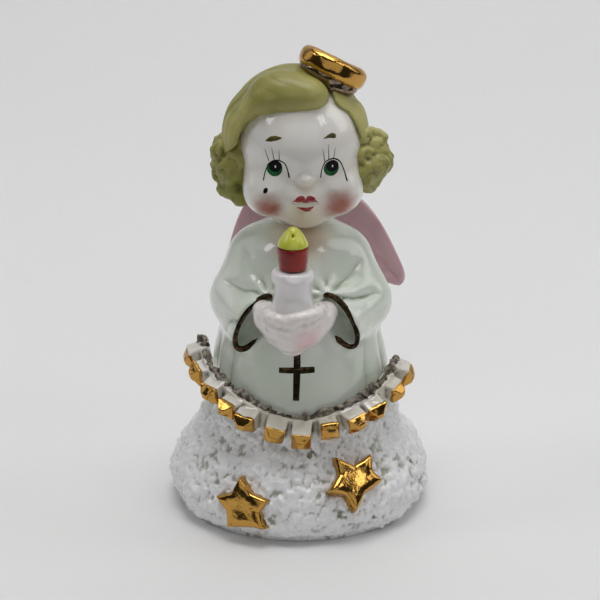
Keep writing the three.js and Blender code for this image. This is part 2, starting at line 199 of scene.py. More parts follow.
def polygon_distance(u, v, outline):
    """Signed distance in a plane from a closed outline, negative inside."""
    outline = np.array(outline)
    nearest = np.full(len(u), 1e9)
    inside = np.zeros(len(u), bool)
    for (au, av), (bu, bv) in zip(outline, np.roll(outline, -1, axis=0)):
        eu, ev = bu - au, bv - av
        share = np.clip(((u - au) * eu + (v - av) * ev) / max(eu * eu + ev * ev, 1e-12), 0, 1)
        nearest = np.minimum(nearest, np.hypot(u - au - share * eu, v - av - share * ev))
        crosses = (av > v) != (bv > v)
        inside ^= crosses & (u < au + (v - av) * eu / np.where(ev == 0, 1e-12, ev))
    return np.where(inside, -nearest, nearest)


# ---- Meshes from fields ----


def surface_net(values, low, step):
    """Vertices and quads where a grid of distances changes sign, one vertex in each mixed cell."""
    shape = np.array(values.shape)
    inside = values < 0
    total = np.zeros((*(shape + 1), 3))
    count = np.zeros(shape + 1)
    crossings = []
    for axis in range(3):
        here = [slice(None)] * 3
        there = [slice(None)] * 3
        here[axis], there[axis] = slice(None, -1), slice(1, None)
        v0, v1 = values[tuple(here)], values[tuple(there)]
        index = np.argwhere(inside[tuple(here)] != inside[tuple(there)])
        a, b = v0[tuple(index.T)], v1[tuple(index.T)]
        point = index.astype(float)
        point[:, axis] += a / (a - b)
        crossings.append((axis, index, a < 0))
        others = [(axis + 1) % 3, (axis + 2) % 3]
        for shift in itertools.product((0, 1), repeat=2):
            cell = index + 1
            cell[:, others[0]] -= shift[0]
            cell[:, others[1]] -= shift[1]
            np.add.at(total, tuple(cell.T), point)
            np.add.at(count, tuple(cell.T), 1)
    used = np.argwhere(count > 0)
    number = np.full(count.shape, -1)
    number[tuple(used.T)] = np.arange(len(used))
    verts = low + step * total[tuple(used.T)] / count[tuple(used.T)][:, None]
    quads = []
    for axis, index, outward in crossings:
        b, c = (axis + 1) % 3, (axis + 2) % 3
        ring = []
        for shift_b, shift_c in ((1, 1), (0, 1), (0, 0), (1, 0)):
            cell = index + 1
            cell[:, b] -= shift_b
            cell[:, c] -= shift_c
            ring.append(number[tuple(cell.T)])
        ring = np.stack(ring, 1)
        ring[~outward] = ring[~outward][:, ::-1]
        quads.append(ring)
    return verts, np.concatenate(quads)


def sides_of(quads):
    """Both vertices of every quad's first side, then of every second side, and so on, in ascending order."""
    pairs = np.concatenate([quads[:, [i, (i + 1) % 4]] for i in range(4)])
    return np.sort(pairs, axis=1)


def edges_of(quads):
    return np.unique(sides_of(quads), axis=0)


def split_quads(verts, quads):
    """Each quad becomes four."""
    edges, back = np.unique(sides_of(quads), axis=0, return_inverse=True)
    back = back.reshape(4, -1).T + len(verts)
    middles = np.arange(len(quads)) + len(verts) + len(edges)
    parts = [np.stack([quads[:, i], back[:, i], middles, back[:, i - 1]], 1) for i in range(4)]
    verts = np.vstack([verts, verts[edges].mean(1), verts[quads].mean(1)])
    return verts, np.concatenate(parts)


def neighbour_mean(values, edges):
    total = np.zeros_like(values)
    count = np.bincount(edges.ravel(), minlength=len(values))
    for axis in range(values.shape[1]):
        total[:, axis] = np.bincount(edges[:, 0], values[edges[:, 1], axis], len(values))
        total[:, axis] += np.bincount(edges[:, 1], values[edges[:, 0], axis], len(values))
    return total / np.maximum(count, 1)[:, None]


def onto_surface(verts, field, reach):
    """Moves vertices along the field's slope to where it is zero, by at most reach."""
    probe = 0.03
    slope = np.stack(
        [(field(verts + probe * axis) - field(verts - probe * axis)) / (2 * probe) for axis in np.eye(3)], 1
    )
    step = field(verts) / np.maximum((slope**2).sum(1), 0.1)
    return verts - slope * np.clip(step, -reach, reach)[:, None]


def normals_of(verts, quads):
    across = np.cross(verts[quads[:, 2]] - verts[quads[:, 0]], verts[quads[:, 3]] - verts[quads[:, 1]])
    normals = np.zeros_like(verts)
    for i in range(4):
        for axis in range(3):
            normals[:, axis] += np.bincount(quads[:, i], across[:, axis], len(verts))
    return normals / np.maximum(size_of(normals), 1e-12)[:, None]


JUST_OUTSIDE = 0.01


def sculpt(field, box, voxel=0.5, refine=1, margin=1.2):
    """A closed quad mesh of a field's surface, searched for in a box of two corners."""
    low, high = box[0] - margin, box[1] + margin
    counts = np.ceil((high - low) / voxel).astype(int) + 1
    axes = [low[i] + voxel * np.arange(counts[i]) for i in range(3)]
    grid = np.stack(np.meshgrid(*axes, indexing="ij"), -1).reshape(-1, 3)
    values = field(grid).reshape(counts)
    # The grid's outer faces count as just outside, so that every shape closes within its box.
    for face in (values[0], values[-1], values[:, 0], values[:, -1], values[:, :, 0], values[:, :, -1]):
        np.maximum(face, JUST_OUTSIDE, out=face)
    verts, quads = surface_net(values, low, voxel)
    for _ in range(refine):
        verts, quads = split_quads(verts, quads)
    edges = edges_of(quads)
    for _ in range(2):
        verts = verts + 0.5 * (neighbour_mean(verts, edges) - verts)
        verts = onto_surface(verts, field, voxel / 2)
    return verts, quads


def hollows(verts, quads, rounds=10):
    """How far each vertex lies below its surroundings, in millimetres: positive in creases."""
    edges = edges_of(quads)
    smooth = verts
    for _ in range(rounds):
        smooth = neighbour_mean(smooth, edges)
    return ((smooth - verts) * normals_of(verts, quads)).sum(1)


# ---- Pieces ----


def piece(name, verts, faces, shader, body="bell", replaces=(), marks=None):
    """A smooth-shaded mesh piece that rides on a body. Each of its marks has a number for every vertex."""
    mesh = bpy.data.meshes.new(name)
    mesh.from_pydata((np.asarray(verts) * MM).tolist(), [], [[int(i) for i in face] for face in faces])
    mesh.polygons.foreach_set("use_smooth", np.ones(len(mesh.polygons), bool))
    for key, values in (marks or {}).items():
        mesh.attributes.new(key, "FLOAT", "POINT").data.foreach_set("value", np.asarray(values, np.float32))
    mesh.materials.append(shader.material)
    obj = bpy.data.objects.new(name, mesh)
    bpy.context.scene.collection.objects.link(obj)
    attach(obj, body)
    if replaces:
        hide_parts(*replaces)
    return obj


def clay(name, field, box, shader, voxel=0.5, refine=1, body="bell", replaces=None, rounds=10):
    """A sculpted piece with its hollows marked, which stands for the CAD node of its own name."""
    verts, quads = sculpt(field, box, voxel, refine)
    nodes = (name.removesuffix("_form"),) if replaces is None else replaces
    return piece(name, verts, quads, shader, body, nodes, {"hollow": hollows(verts, quads, rounds)})


def spun(profile, count, centre=(0, 0), closed=False):
    """A quad mesh of revolution about Z. An open profile starts and ends on the axis."""
    profile = np.array(profile, float)
    angles = np.arange(count) * 2 * math.pi / count
    rings = np.stack(
        [np.outer(np.cos(angles), profile[:, 0]), np.outer(np.sin(angles), profile[:, 0])], -1
    ) + np.array(centre)
    heights = np.broadcast_to(profile[:, 1], rings.shape[:2])[..., None]
    verts = np.concatenate([rings, heights], -1).reshape(-1, 3)
    rows = len(profile)
    i = np.arange(count)[:, None]
    j = np.arange(rows if closed else rows - 1)[None, :]
    here, there, up = i * rows, (i + 1) % count * rows, (j + 1) % rows
    quads = np.stack(np.broadcast_arrays(here + j, there + j, there + up, here + up), -1).reshape(-1, 4)
    return verts, quads


def tube(path, radii, sides=10, closed=False):
    """A round tube along a path, with domed ends when it isn't closed."""
    path = np.array(path, float)
    count = len(path)
    radii = np.broadcast_to(np.asarray(radii, float), (count,))
    along = np.roll(path, -1, 0) - np.roll(path, 1, 0)
    if not closed:
        along[0], along[-1] = path[1] - path[0], path[-1] - path[-2]
    along /= size_of(along)[:, None]
    side = np.cross(along[0], (0, 0, 1) if abs(along[0][2]) < 0.9 else (1, 0, 0))
    verts = []
    angles = np.arange(sides) * 2 * math.pi / sides
    for point, forward, radius in zip(path, along, radii):
        side = side - forward * (side @ forward)
        side /= np.linalg.norm(side)
        other = np.cross(forward, side)
        verts.append(point + radius * (np.outer(np.cos(angles), side) + np.outer(np.sin(angles), other)))
    verts = np.concatenate(verts)
    faces = []
    for i in range(count if closed else count - 1):
        here, there = i * sides, (i + 1) % count * sides
        for k in range(sides):
            faces.append((here + k, here + (k + 1) % sides, there + (k + 1) % sides, there + k))
    if not closed:
        tips = path[[0, -1]] + np.array([-along[0] * radii[0], along[-1] * radii[-1]]) * 0.5
        base = len(verts)
        verts = np.vstack([verts, tips])
        last = (count - 1) * sides
        for k in range(sides):
            faces.append((base, (k + 1) % sides, k))
            faces.append((base + 1, last + k, last + (k + 1) % sides))
    return verts, faces


def merged(parts):
    """Several meshes as one list of vertices and one of faces."""
    verts, faces, base = [], [], 0
    for part_verts, part_faces in parts:
        verts.append(part_verts)
        faces += [[base + int(i) for i in face] for face in part_faces]
        base += len(part_verts)
    return np.concatenate(verts), faces


# ---- Materials ----


def opaque(colour):
    """A socket as it is, or a colour of red, green and blue with full alpha."""
    return colour if isinstance(colour, bpy.types.NodeSocket) else (*colour, 1)


class Shader:
    """A Principled material with a few helpers for its colour and bump nodes."""

    def __init__(self, name, **settings):
        self.material = bpy.data.materials.new(name)
        self.material.use_nodes = True
        self.tree = self.material.node_tree
        self.main = self.tree.nodes["Principled BSDF"]
        for key, value in settings.items():
            self.main.inputs[key.replace("_", " ")].default_value = value

    def node(self, kind, **inputs):
        made = self.tree.nodes.new("ShaderNode" + kind)
        for key, value in inputs.items():
            self.feed(made.inputs[key.replace("_", " ")], value)
        return made

    def feed(self, socket, value):
        if isinstance(value, bpy.types.NodeSocket):
            self.tree.links.new(value, socket)
        else:
            socket.default_value = value

    def noise(self, scale, detail=3.0, roughness=0.5, distortion=0.0):
        """Noise whose lumps are about 1/scale metres wide."""
        place = self.node("TexCoord").outputs["Object"]
        made = self.node("TexNoise", Vector=place, Scale=scale, Detail=detail, Roughness=roughness)
        made.inputs["Distortion"].default_value = distortion
        return made.outputs["Fac"]

    def mark(self, name="hollow"):
        made = self.node("Attribute")
        made.attribute_name = name
        return made.outputs["Fac"]

    def span(self, value, start, end, low=0.0, high=1.0):
        made = self.node("MapRange")
        made.interpolation_type = "SMOOTHSTEP"
        keys = ("Value", "From Min", "From Max", "To Min", "To Max")
        for key, number in zip(keys, (value, start, end, low, high)):
            self.feed(made.inputs[key], number)
        return made.outputs["Result"]

    def maths(self, operation, a, b=0.0):
        made = self.node("Math")
        made.operation = operation
        self.feed(made.inputs[0], a)
        self.feed(made.inputs[1], b)
        return made.outputs["Value"]

    def mix(self, share, a, b):
        made = self.node("Mix")
        made.data_type = "RGBA"
        self.feed(made.inputs["Factor"], share)
        self.feed(made.inputs[6], opaque(a))
        self.feed(made.inputs[7], opaque(b))
        return made.outputs[2]

    def colour(self, value):
        self.feed(self.main.inputs["Base Color"], opaque(value))

    def bump(self, height, distance, strength=1.0):
        """Bump of that depth in metres."""
        made = self.node("Bump", Height=height, Distance=distance, Strength=strength)
        self.tree.links.new(made.outputs["Normal"], self.main.inputs["Normal"])
        if "Coat Normal" in self.main.inputs:
            self.tree.links.new(made.outputs["Normal"], self.main.inputs["Coat Normal"])


def srgb(*levels):
    """A colour given as 0 to 255 screen values, as linear light."""
    shares = [level / 255 for level in levels]
    return tuple(c / 12.92 if c <= 0.04045 else ((c + 0.055) / 1.055) ** 2.4 for c in shares)


GLAZE = dict(Roughness=0.28, Coat_Weight=1.0, Coat_Roughness=0.04, Coat_IOR=1.5)


def glazed(name, colour, pooled_and_shade, creamy=None, depth=0.35, **settings):
    """Glossy glaze, darker and stronger in colour in the hollows: partly glaze pooled there, partly painted
    shade.
    """
    shader = Shader(name, **{**GLAZE, **settings})
    cloud = shader.noise(90.0, 2.0)
    base = shader.mix(shader.span(cloud, 0.35, 0.7), colour, creamy or colour)
    uneven = shader.maths("ADD", shader.mark(), shader.maths("MULTIPLY", shader.noise(260.0), depth * 0.25))
    # Real pooling with painted shade: the colour darkens towards the hollow colour in the creases.
    shader.colour(shader.mix(shader.span(uneven, depth * 0.05, depth), base, pooled_and_shade))
    shader.bump(shader.noise(420.0, 2.0), 0.00006)
    return shader


def gilded(name, colour=(0.56, 0.31, 0.075), dark=(0.17, 0.075, 0.02), worn=0.57):
    """Bright liquid gold over glaze, browner where it is thin and dull in its creases."""
    shader = Shader(name, Metallic=1.0)
    thin = shader.noise(700.0, 5.0, 0.65)
    hollow = shader.span(shader.mark(), 0.02, 0.22)
    share = shader.maths("MAXIMUM", shader.span(thin, worn, worn + 0.16), hollow)
    shader.colour(shader.mix(share, colour, dark))
    shader.feed(shader.main.inputs["Roughness"], shader.span(share, 0.0, 1.0, 0.14, 0.42))
    shader.bump(shader.noise(1500.0, 3.0), 0.00005)
    return shader


def enamel(name, colour, second=None, scale=900.0, roughness=0.3, coat=0.5, specular=0.5):
    """Opaque painted colour with brush unevenness."""
    shader = Shader(
        name, Roughness=roughness, Coat_Weight=coat, Coat_Roughness=0.12, Specular_IOR_Level=specular,
    )
    streak = shader.span(shader.noise(scale, 4.0), 0.35, 0.7)
    shader.colour(shader.mix(streak, colour, second or tuple(0.75 * c for c in colour)))
    shader.bump(shader.noise(scale, 3.0), 0.00003)
    return shader


BONE = srgb(226, 229, 226)
snow = Shader("snow_grit", Roughness=0.35, Coat_Weight=0.8, Coat_Roughness=0.07)
# Painted shade: the grit turns grey where it lies low between the grains.
snow_low_shade = snow.span(snow.mark("relief"), -0.55, -0.12)
snow_colour = snow.mix(snow_low_shade, srgb(170, 171, 159), srgb(242, 242, 243))
# Painted shade: darker greenish patches in some of the deepest crevices.
snow_pit_shade = snow.maths(
    "MULTIPLY", snow.span(snow.noise(160.0, 2.0), 0.60, 0.68), snow.span(snow.mark("relief"), -0.1, -0.35),
)
snow_colour = snow.mix(snow_pit_shade, snow_colour, srgb(120, 122, 100))
snow_specks = snow.span(snow.noise(520.0, 2.0), 0.74, 0.8)
snow.colour(snow.mix(snow_specks, snow_colour, srgb(150, 134, 112)))
snow.bump(snow.noise(1900.0, 3.0), 0.00016)

robe_glaze = glazed("robe_glaze", srgb(223, 231, 216), srgb(162, 176, 148), srgb(230, 235, 226))
skin_glaze = glazed("skin_glaze", srgb(240, 236, 228), srgb(206, 184, 150), srgb(242, 239, 235), depth=0.6)
hand_lustre = glazed("hand_lustre", srgb(240, 236, 232), srgb(204, 168, 160), srgb(240, 228, 226), depth=0.5)
candle_lustre = glazed("candle_lustre", srgb(236, 234, 238), srgb(182, 176, 180), srgb(238, 234, 232))
# The ribbon's dark brown hollow colour darkens it between the pleats: painted shade.
trim_glaze = glazed("trim_glaze", srgb(208, 200, 184), srgb(80, 66, 46), srgb(230, 226, 219), depth=0.26)
bead_glaze = glazed("bead_glaze", BONE, srgb(180, 180, 170))
gold = gilded("bright_gold")
halo_gold = gilded("halo_gold", worn=0.66)
luting_gold = gilded("luting_gold", (0.30, 0.22, 0.15), (0.20, 0.16, 0.13), 0.5)
line_gold = gilded("line_gold", (0.075, 0.05, 0.024), (0.02, 0.016, 0.01), 0.42)
hair_enamel = glazed(
    "hair_enamel", srgb(182, 176, 104), srgb(84, 86, 30), srgb(138, 136, 58), depth=0.3, Roughness=0.55,
    Coat_Weight=0.25, Coat_Roughness=0.15,
)
wing_lustre = glazed("wing_lustre", srgb(204, 164, 172), srgb(178, 108, 128), srgb(192, 144, 156), depth=0.3)
flame_red = enamel("flame_red", srgb(150, 26, 8), srgb(120, 14, 6), 300.0, 0.22, 0.25, 0.3)
flame_yellow = enamel("flame_yellow", srgb(206, 208, 70), srgb(188, 194, 58), 300.0, 0.32, 0.6)
black_paint = enamel("black_paint", srgb(12, 11, 10), roughness=0.3, coat=0.0, specular=0.12)
brow_paint = enamel("brow_paint", srgb(66, 60, 22), srgb(96, 88, 38))
green_paint = enamel(
    "green_paint", srgb(40, 108, 60), srgb(24, 76, 44), roughness=0.3, coat=0.0, specular=0.2,
)
white_paint = enamel("white_paint", srgb(250, 250, 248), srgb(240, 240, 240), roughness=0.2)
lip_paint = enamel("lip_paint", srgb(164, 30, 40), srgb(130, 18, 28))
# Dark brown flecked with light grey, for the bead along the ribbon's top edge.
edge_enamel = enamel("trim_edge_enamel", srgb(56, 44, 32), srgb(172, 162, 146), 900.0, 0.6, 0.1)
cement = enamel("cement", srgb(200, 196, 182), srgb(160, 154, 140), 700.0, 0.9, 0.0)
steel = gilded("steel_wire", (0.42, 0.40, 0.37), (0.16, 0.09, 0.05), 0.55)


# ---- Snow mound ----

MOUND_OUTSIDE = [
    (23.6, 0.0), (25.0, 1.4), (MOUND_RADIUS - 0.9, 4.6), (25.7, 8.4), (23.9, 12.2), (21.4, 15.4),
    (19.9, 17.8), (19.2, 20.2), (18.4, 21.2), (17.7, 20.2), (17.4, 19.0), (16.9, 18.6),
]
MOUND_INSIDE = [(16.6, 18.1), (18.3, 16.6), (21.3, 12.9), (23.4, 8.4), (23.5, 4.6), (21.3, 0.3), (21.8, 0.0)]


def mound():
    outside = smooth_curve(MOUND_OUTSIDE, 124)
    inside = smooth_curve(MOUND_INSIDE, 26)
    profile = np.vstack([outside, inside])
    verts, quads = spun(profile, 700, closed=True)
    outward = normals_of(verts, quads)
    row = np.arange(len(verts)) % len(profile)
    bent = verts + 0.35 * np.stack([noise(verts, 1.3, seed) for seed in (14, 15, 16)], 1)
    lumps = 0.6 * noise(verts, 8.0, 5) + 0.4 * noise(verts, 3.0, 6)
    crumbs = 0.35 * grains(bent, 1.8, 11) + 0.5 * grains(bent, 0.9, 21) + 0.3 * noise(verts, 0.9, 7)
    crumbs += 0.16 * noise(verts, 0.45, 8)
    grit = lumps + crumbs - np.median(crumbs) - 0.1
    share = ramp(row, 0, 5) * (1 - ramp(row, len(outside) - 18, len(outside) - 6))
    bare = np.where(row < len(outside), 0.15, 0.0)
    verts = verts + outward * (np.clip(grit, -1.2, 0.85) * (bare + 0.85 * share) * ramp(row, 0, 4))[:, None]
    ragged = 0.6 + 0.8 * noise(verts, 5.0, 9)
    verts[:, 2] += ramp(row, 1, 5) * (1 - ramp(verts[:, 2], 0.3, 2.2)) * ragged * (row < len(outside))
    verts[:, 2] = np.maximum(verts[:, 2], 0)
    return piece("cloud_base_form", verts, quads, snow, replaces=("cloud_base",),
                 marks={"relief": crumbs - np.median(crumbs) + 0.35 * lumps})


mound()


# ---- Robe and sleeves ----


def lathe(profile, reach=5.0, step=0.25):
    """A field for a solid of revolution about Z. Its outline of (radius, height) ends on the axis."""
    curve = smooth_curve(profile, 120)
    outline = np.vstack([curve, (curve * (-1, 1))[::-1]])
    low, high = np.array([0, curve[:, 1].min() - reach]), curve.max(0) + reach
    counts = np.ceil((high - low) / step).astype(int) + 1
    radius, height = np.meshgrid(*(low[i] + step * np.arange(counts[i]) for i in range(2)), indexing="ij")
    table = polygon_distance(radius.ravel(), height.ravel(), outline).reshape(counts)

    def field(p, share=1.0):
        place = np.stack([np.hypot(p[:, 0], p[:, 1] / share), p[:, 2]], 1)
        place = np.clip((place - low) / step, 0, counts - 1.001)
        cell = place.astype(int)
        t, u = (place - cell).T
        i, j = cell.T
        lower = table[i, j] * (1 - t) + table[i + 1, j] * t
        upper = table[i, j + 1] * (1 - t) + table[i + 1, j + 1] * t
        return lower * (1 - u) + upper * u

    return field


ROBE_OUTLINE = [
    (17.6, 0.0), (18.4, 3.8), (18.0, 8.8), (16.8, 14.8), (15.4, 20.3), (14.2, 25.8), (13.0, 30.8),
    (11.0, 35.6), (8.0, 38.6), (4.6, 39.9), (0.0, 40.3),
]
ROBE_HOLLOW = [(14.9, -3.0), (14.8, 4.8), (13.2, 12.8), (11.0, 20.8), (7.8, 26.4), (0.0, 28.3)]
robe_solid = lathe([(0.0, 0.0), *ROBE_OUTLINE])
robe_cavity = lathe([(0.0, -3.0), *ROBE_HOLLOW])
ROBE_FLATTENED = 0.95

ELBOWS = {-1: np.array([-11.2, -3.0, 43.0]), 1: np.array([11.9, -3.0, 43.2])}
CUFFS = {-1: np.array([-7.9, -13.5, 41.7]), 1: np.array([8.6, -13.5, 42.5])}
CUFF_RADII = {-1: (2.7, 6.15), 1: (2.7, 5.75)}
CUFF_LEAN = 0.52


def cuff_frame(side):
    """Axes of the forearm: across, up along the cuff's long axis, and forwards. One axis in each column."""
    forward = CUFFS[side] - ELBOWS[side]
    forward = forward / np.linalg.norm(forward)
    across = np.cross((0, 0, 1), forward)
    across /= np.linalg.norm(across)
    up = np.cross(forward, across)
    lean = side * CUFF_LEAN
    return np.stack([
        math.cos(lean) * across + math.sin(lean) * up, math.cos(lean) * up - math.sin(lean) * across, forward,
    ], 1)


def sleeve(p, side):
    elbow, cuff = ELBOWS[side], CUFFS[side]
    axes = cuff_frame(side)
    upper = rod(p, (side * 8.4, -0.2, 51.0), elbow + (side * -0.2, 0.4, 0.6), 6.0, 6.0)
    q = (p - elbow) @ axes
    length = np.linalg.norm(cuff - elbow)
    share = np.clip(q[:, 2] / length, -0.4, 1.1)
    across, along = CUFF_RADII[side]
    wide = 5.9 + (across + 0.45 - 5.9) * ramp(share, -0.1, 1.15)
    tall = 6.1 + (along + 0.35 - 6.1) * share
    oval = np.hypot(q[:, 0] / wide, q[:, 1] / tall)
    fore = (oval - 1) * np.minimum(wide, tall)
    fore = smooth_meet(smooth_meet(fore, q[:, 2] - length, 0.7), -q[:, 2] - 2.0, 1.5)
    shape = smooth_join(upper, fore, 2.6)
    top = cuff + axes @ np.array([0, along - 0.2, -0.6])
    away = p - top
    reach = size_of(away)
    around = np.arctan2(away[:, 2] + 0.3 * away[:, 1], side * away[:, 0])
    wrinkle = np.abs(np.sin(3.4 * around + 0.9 * noise(p, 4, 41) + 0.5 * side)) ** 0.8
    folds = ramp(reach, 0.8, 3.0) * (1 - ramp(reach, 7.0, 13.0)) * ramp(-p[:, 1], 2.0, 7.0)
    shape = shape + 1.5 * folds * (1 - wrinkle) - 0.45 * folds
    deep = ellipsoid(p, cuff + axes @ np.array([0, 0, 0.4]), (across - 0.1, along - 0.35, 4.2), axes)
    return shape, deep


def skirt_folds(p):
    """Depth of the soft folds round the sides and back of the skirt."""
    around = np.arctan2(p[:, 0], -p[:, 1])
    beside = ramp(np.abs(around), 0.52, 0.86)
    below = 1 - ramp(p[:, 2], 27, 43)
    phase = 8.5 * around + 0.5 * np.sin(3 * around + 1) + 0.35 * noise(p * (1, 1, 0.25), 6, 43)
    return 0.95 * beside * below * (1 - np.abs(np.cos(phase)) ** 0.7)


def robe_outer(p):
    q = p - (0, 0, ROBE_BOTTOM)
    body = robe_solid(q, ROBE_FLATTENED) + skirt_folds(p)
    cuffs = []
    for side in (-1, 1):
        arm, deep = sleeve(p, side)
        body = smooth_join(body, arm, 2.4)
        cuffs.append(deep)
    hollow = np.minimum(*cuffs)
    return smooth_cut(body, hollow, 0.5)


def robe(p):
    return np.maximum(robe_outer(p), -robe_cavity(p - (0, 0, ROBE_BOTTOM), ROBE_FLATTENED))


robe_box = (np.array([-19.2, -17.8, ROBE_BOTTOM]), np.array([19.2, 18.3, ROBE_TOP]))
robe_piece = clay("robe_form", robe, robe_box, robe_glaze, 0.55,
                  replaces=("robe_body", "sleeve_left", "sleeve_right"), rounds=14)


# ---- Head ----

HEAD_TURN = turned(yaw=8)


def head(p):
    q = (p - HEAD) @ HEAD_TURN
    skull = ellipsoid(q, (0, 0.2, 1.0), (12.2, 12.0, 12.3))
    cheeks = [ellipsoid(q, (side * 6.1, -5.0, -6.9), (5.6, 6.0, 5.3)) for side in (-1, 1)]
    chin = ellipsoid(q, (0.3, -5.0, -10.4), (5.0, 5.6, 4.2))
    shape = join_all([skull, *cheeks, chin], 3.0)
    muzzle = ellipsoid(q, (0, -9.3, -7.6), (4.0, 2.6, 3.2))
    shape = smooth_join(shape, muzzle, 2.0)
    for side in (-1, 1):
        socket = ellipsoid(q, (side * 5.4, -14.2, -1.5), (3.3, 3.2, 2.5))
        shape = smooth_cut(shape, socket, 2.4)
    nose = ellipsoid(q, (0, -11.5, -3.5), (1.1, 0.85, 0.7))
    bridge = rod(q, (0, -10.3, -2.3), (0, -10.9, -3.3), 0.4, 0.8)
    shape = smooth_join(smooth_join(shape, bridge, 1.6), nose, 0.9)
    shape = smooth_join(shape, ellipsoid(q, (0, -11.1, -6.9), (2.2, 0.8, 0.8)), 0.6)
    shape = smooth_join(shape, ellipsoid(q, (0.1, -11.1, -8.6), (1.5, 0.8, 0.7)), 0.6)
    crease = chain(q, [(-2.4, -11.5, -7.7), (0, -12.1, -7.6), (2.3, -11.5, -7.8)], [0.15, 0.2, 0.15], 0.2)
    shape = smooth_cut(shape, crease, 0.3)
    neck = rod(p, (0.2, 0.4, 63), (0, 0.6, ROBE_TOP - 1.2), 5.4, 5.6)
    return smooth_join(shape, neck, 1.6)


def head_trimmed(p):
    return smooth_meet(head(p), ROBE_TOP - 1.6 - p[:, 2], 0.6)


head_low, head_high = corners("head")
head_piece = clay("head_form", head_trimmed, (head_low - (1, 1, 2), head_high), skin_glaze,
                  0.55, replaces=("head",), rounds=14)


# ---- Hair ----

HAIRLINE = [
    (-16.0, 58.0), (-16.0, 66.0), (-14.0, 72.6), (-12.0, 75.2), (-10.8, 78.4), (-9.4, 82.4), (-6.6, 85.2),
    (-2.0, 87.0), (3.0, 87.4), (5.4, 88.6), (6.9, 84.2), (9.3, 81.8), (11.1, 79.2), (12.4, 75.8),
    (14.6, 70.0), (16.0, 58.0),
]


def strands(p):
    """Grooves that run from the parting down each side and wave a little."""
    q = p - HAIR
    fall = np.arctan2(np.hypot(q[:, 0], 0.3 * q[:, 1]), q[:, 2])
    wave = 1.1 * np.sin(4.2 * fall + 0.12 * q[:, 1]) * ramp(fall, 0.4, 1.4)
    phase = (q[:, 1] + wave + 0.9 * noise(p, 4.5, 51)) / 2.5
    fine = (q[:, 1] + wave + 0.5 * noise(p, 3.0, 52)) / 0.95
    return 0.5 * np.abs(np.sin(math.pi * phase)) ** 0.6 + 0.1 * np.abs(np.sin(math.pi * fine))


def fringe(p):
    """The big rounded lock that sweeps from the parting to the left temple."""
    swell = ellipsoid(p, (-1.6, -5.2, 85.2), (7.6, 5.0, 4.5), turned(roll=4))
    tip = ellipsoid(p, (2.3, -6.9, 85.6), (3.1, 3.1, 2.7))
    sweep = chain(p, [(-6.4, -7.4, 84.4), (-9.0, -6.0, 82.2), (-10.8, -4.6, 79.6)], [2.3, 1.7, 1.1], 1.0)
    shape = smooth_join(smooth_join(swell, tip, 1.4), sweep, 1.8)
    lines = np.abs(np.sin(1.3 * (p[:, 2] + 0.3 * p[:, 0]) + 0.8 * noise(p * (0.4, 1, 1), 3, 61))) ** 0.7
    return shape + 0.08 - 0.1 * lines * ramp(-p[:, 0], -3, 5)


def hair(p):
    crown = ellipsoid(p, HAIR, (13.7, 13.5, 13.7))
    nape = ellipsoid(p, (0, 4.4, 68.8), (11.9, 8.9, 7.0))
    left = ellipsoid(p, (-11.2, -0.6, 75.6), (3.6, 6.0, 7.0))
    right = ellipsoid(p, (11.0, -0.6, 75.6), (2.2, 5.4, 6.6))
    mass = join_all([crown, nape, left, right], 2.2)
    mass = mass + 0.18 - 0.4 * strands(p) * (0.45 + 0.55 * ramp(-p[:, 0], -6, 6))
    window = polygon_distance(p[:, 0], p[:, 2], smooth_curve(HAIRLINE, 60))
    window = smooth_meet(window, p[:, 1] + 2.0, 2.0)
    mass = smooth_cut(mass, window, 0.8)
    mass = smooth_join(mass, fringe(p), 0.4 + 1.7 * ramp(-p[:, 0], -3.0, 1.5))
    return smooth_cut(mass, head(p) + 0.5, 0.2)


hair_low, hair_high = corners("hair_cap")
clay("hair_form", hair, (hair_low - (0, 3.2, 0), hair_high), hair_enamel, 0.5,
     replaces=("hair_cap", "fringe_lock"))


CURL_LUMPS = {
    "left": [
        (-13.9, 0.0, 72.6, 3.5), (-12.9, -2.8, 69.6, 3.2), (-14.6, 1.6, 68.6, 3.2), (-12.8, -1.4, 65.9, 3.2),
        (-11.4, -2.8, 63.9, 2.2), (-12.6, 2.8, 66.6, 3.0), (-12.0, -2.6, 75.0, 2.4), (-11.6, -4.0, 72.0, 2.2),
    ],
    "right": [
        (14.1, -0.6, 74.3, 3.2), (14.6, -2.0, 71.0, 3.1), (12.8, -3.2, 69.4, 2.6), (15.0, 1.4, 70.4, 3.0),
        (13.2, -0.6, 67.6, 2.7), (12.8, 2.6, 69.6, 3.0), (12.3, -2.8, 73.2, 2.4), (12.2, -2.4, 76.4, 1.8),
    ],
}


def ringlets(lumps):
    """Balls of hair with a spiral groove in each."""

    def field(p):
        total = np.full(len(p), 1e3)
        for index, (x, y, z, radius) in enumerate(lumps):
            away = p - (x, y, z)
            reach = size_of(away)
            facing = turned(yaw=40 * math.copysign(1, x), pitch=14 * (index % 3 - 1))
            q = away @ facing
            spin = np.arctan2(q[:, 2], q[:, 0]) * (1 if index % 2 else -1)
            phase = spin + 2.5 * np.hypot(q[:, 0], q[:, 2]) + 1.8 * noise(p, 2.6, 72) + index
            ridge = np.abs(np.cos(phase / 2)) ** 0.8
            total = smooth_join(total, reach - radius + 0.3 - 0.5 * ridge, 0.9)
        return total - 0.42 * noise(p, 1.7, 71) - 0.14 * noise(p, 0.7, 73)

    return field


for ending, lumps in CURL_LUMPS.items():
    node = "curls_" + ending
    curl_low, curl_high = corners(node)
    clay(node + "_form", ringlets(lumps), (curl_low - 2, curl_high + 2), hair_enamel, 0.42)


# ---- Halo ----

HALO_TURN = turned(pitch=-15) @ turned(roll=25)
HALO_RADII = (5.0, 2.0)


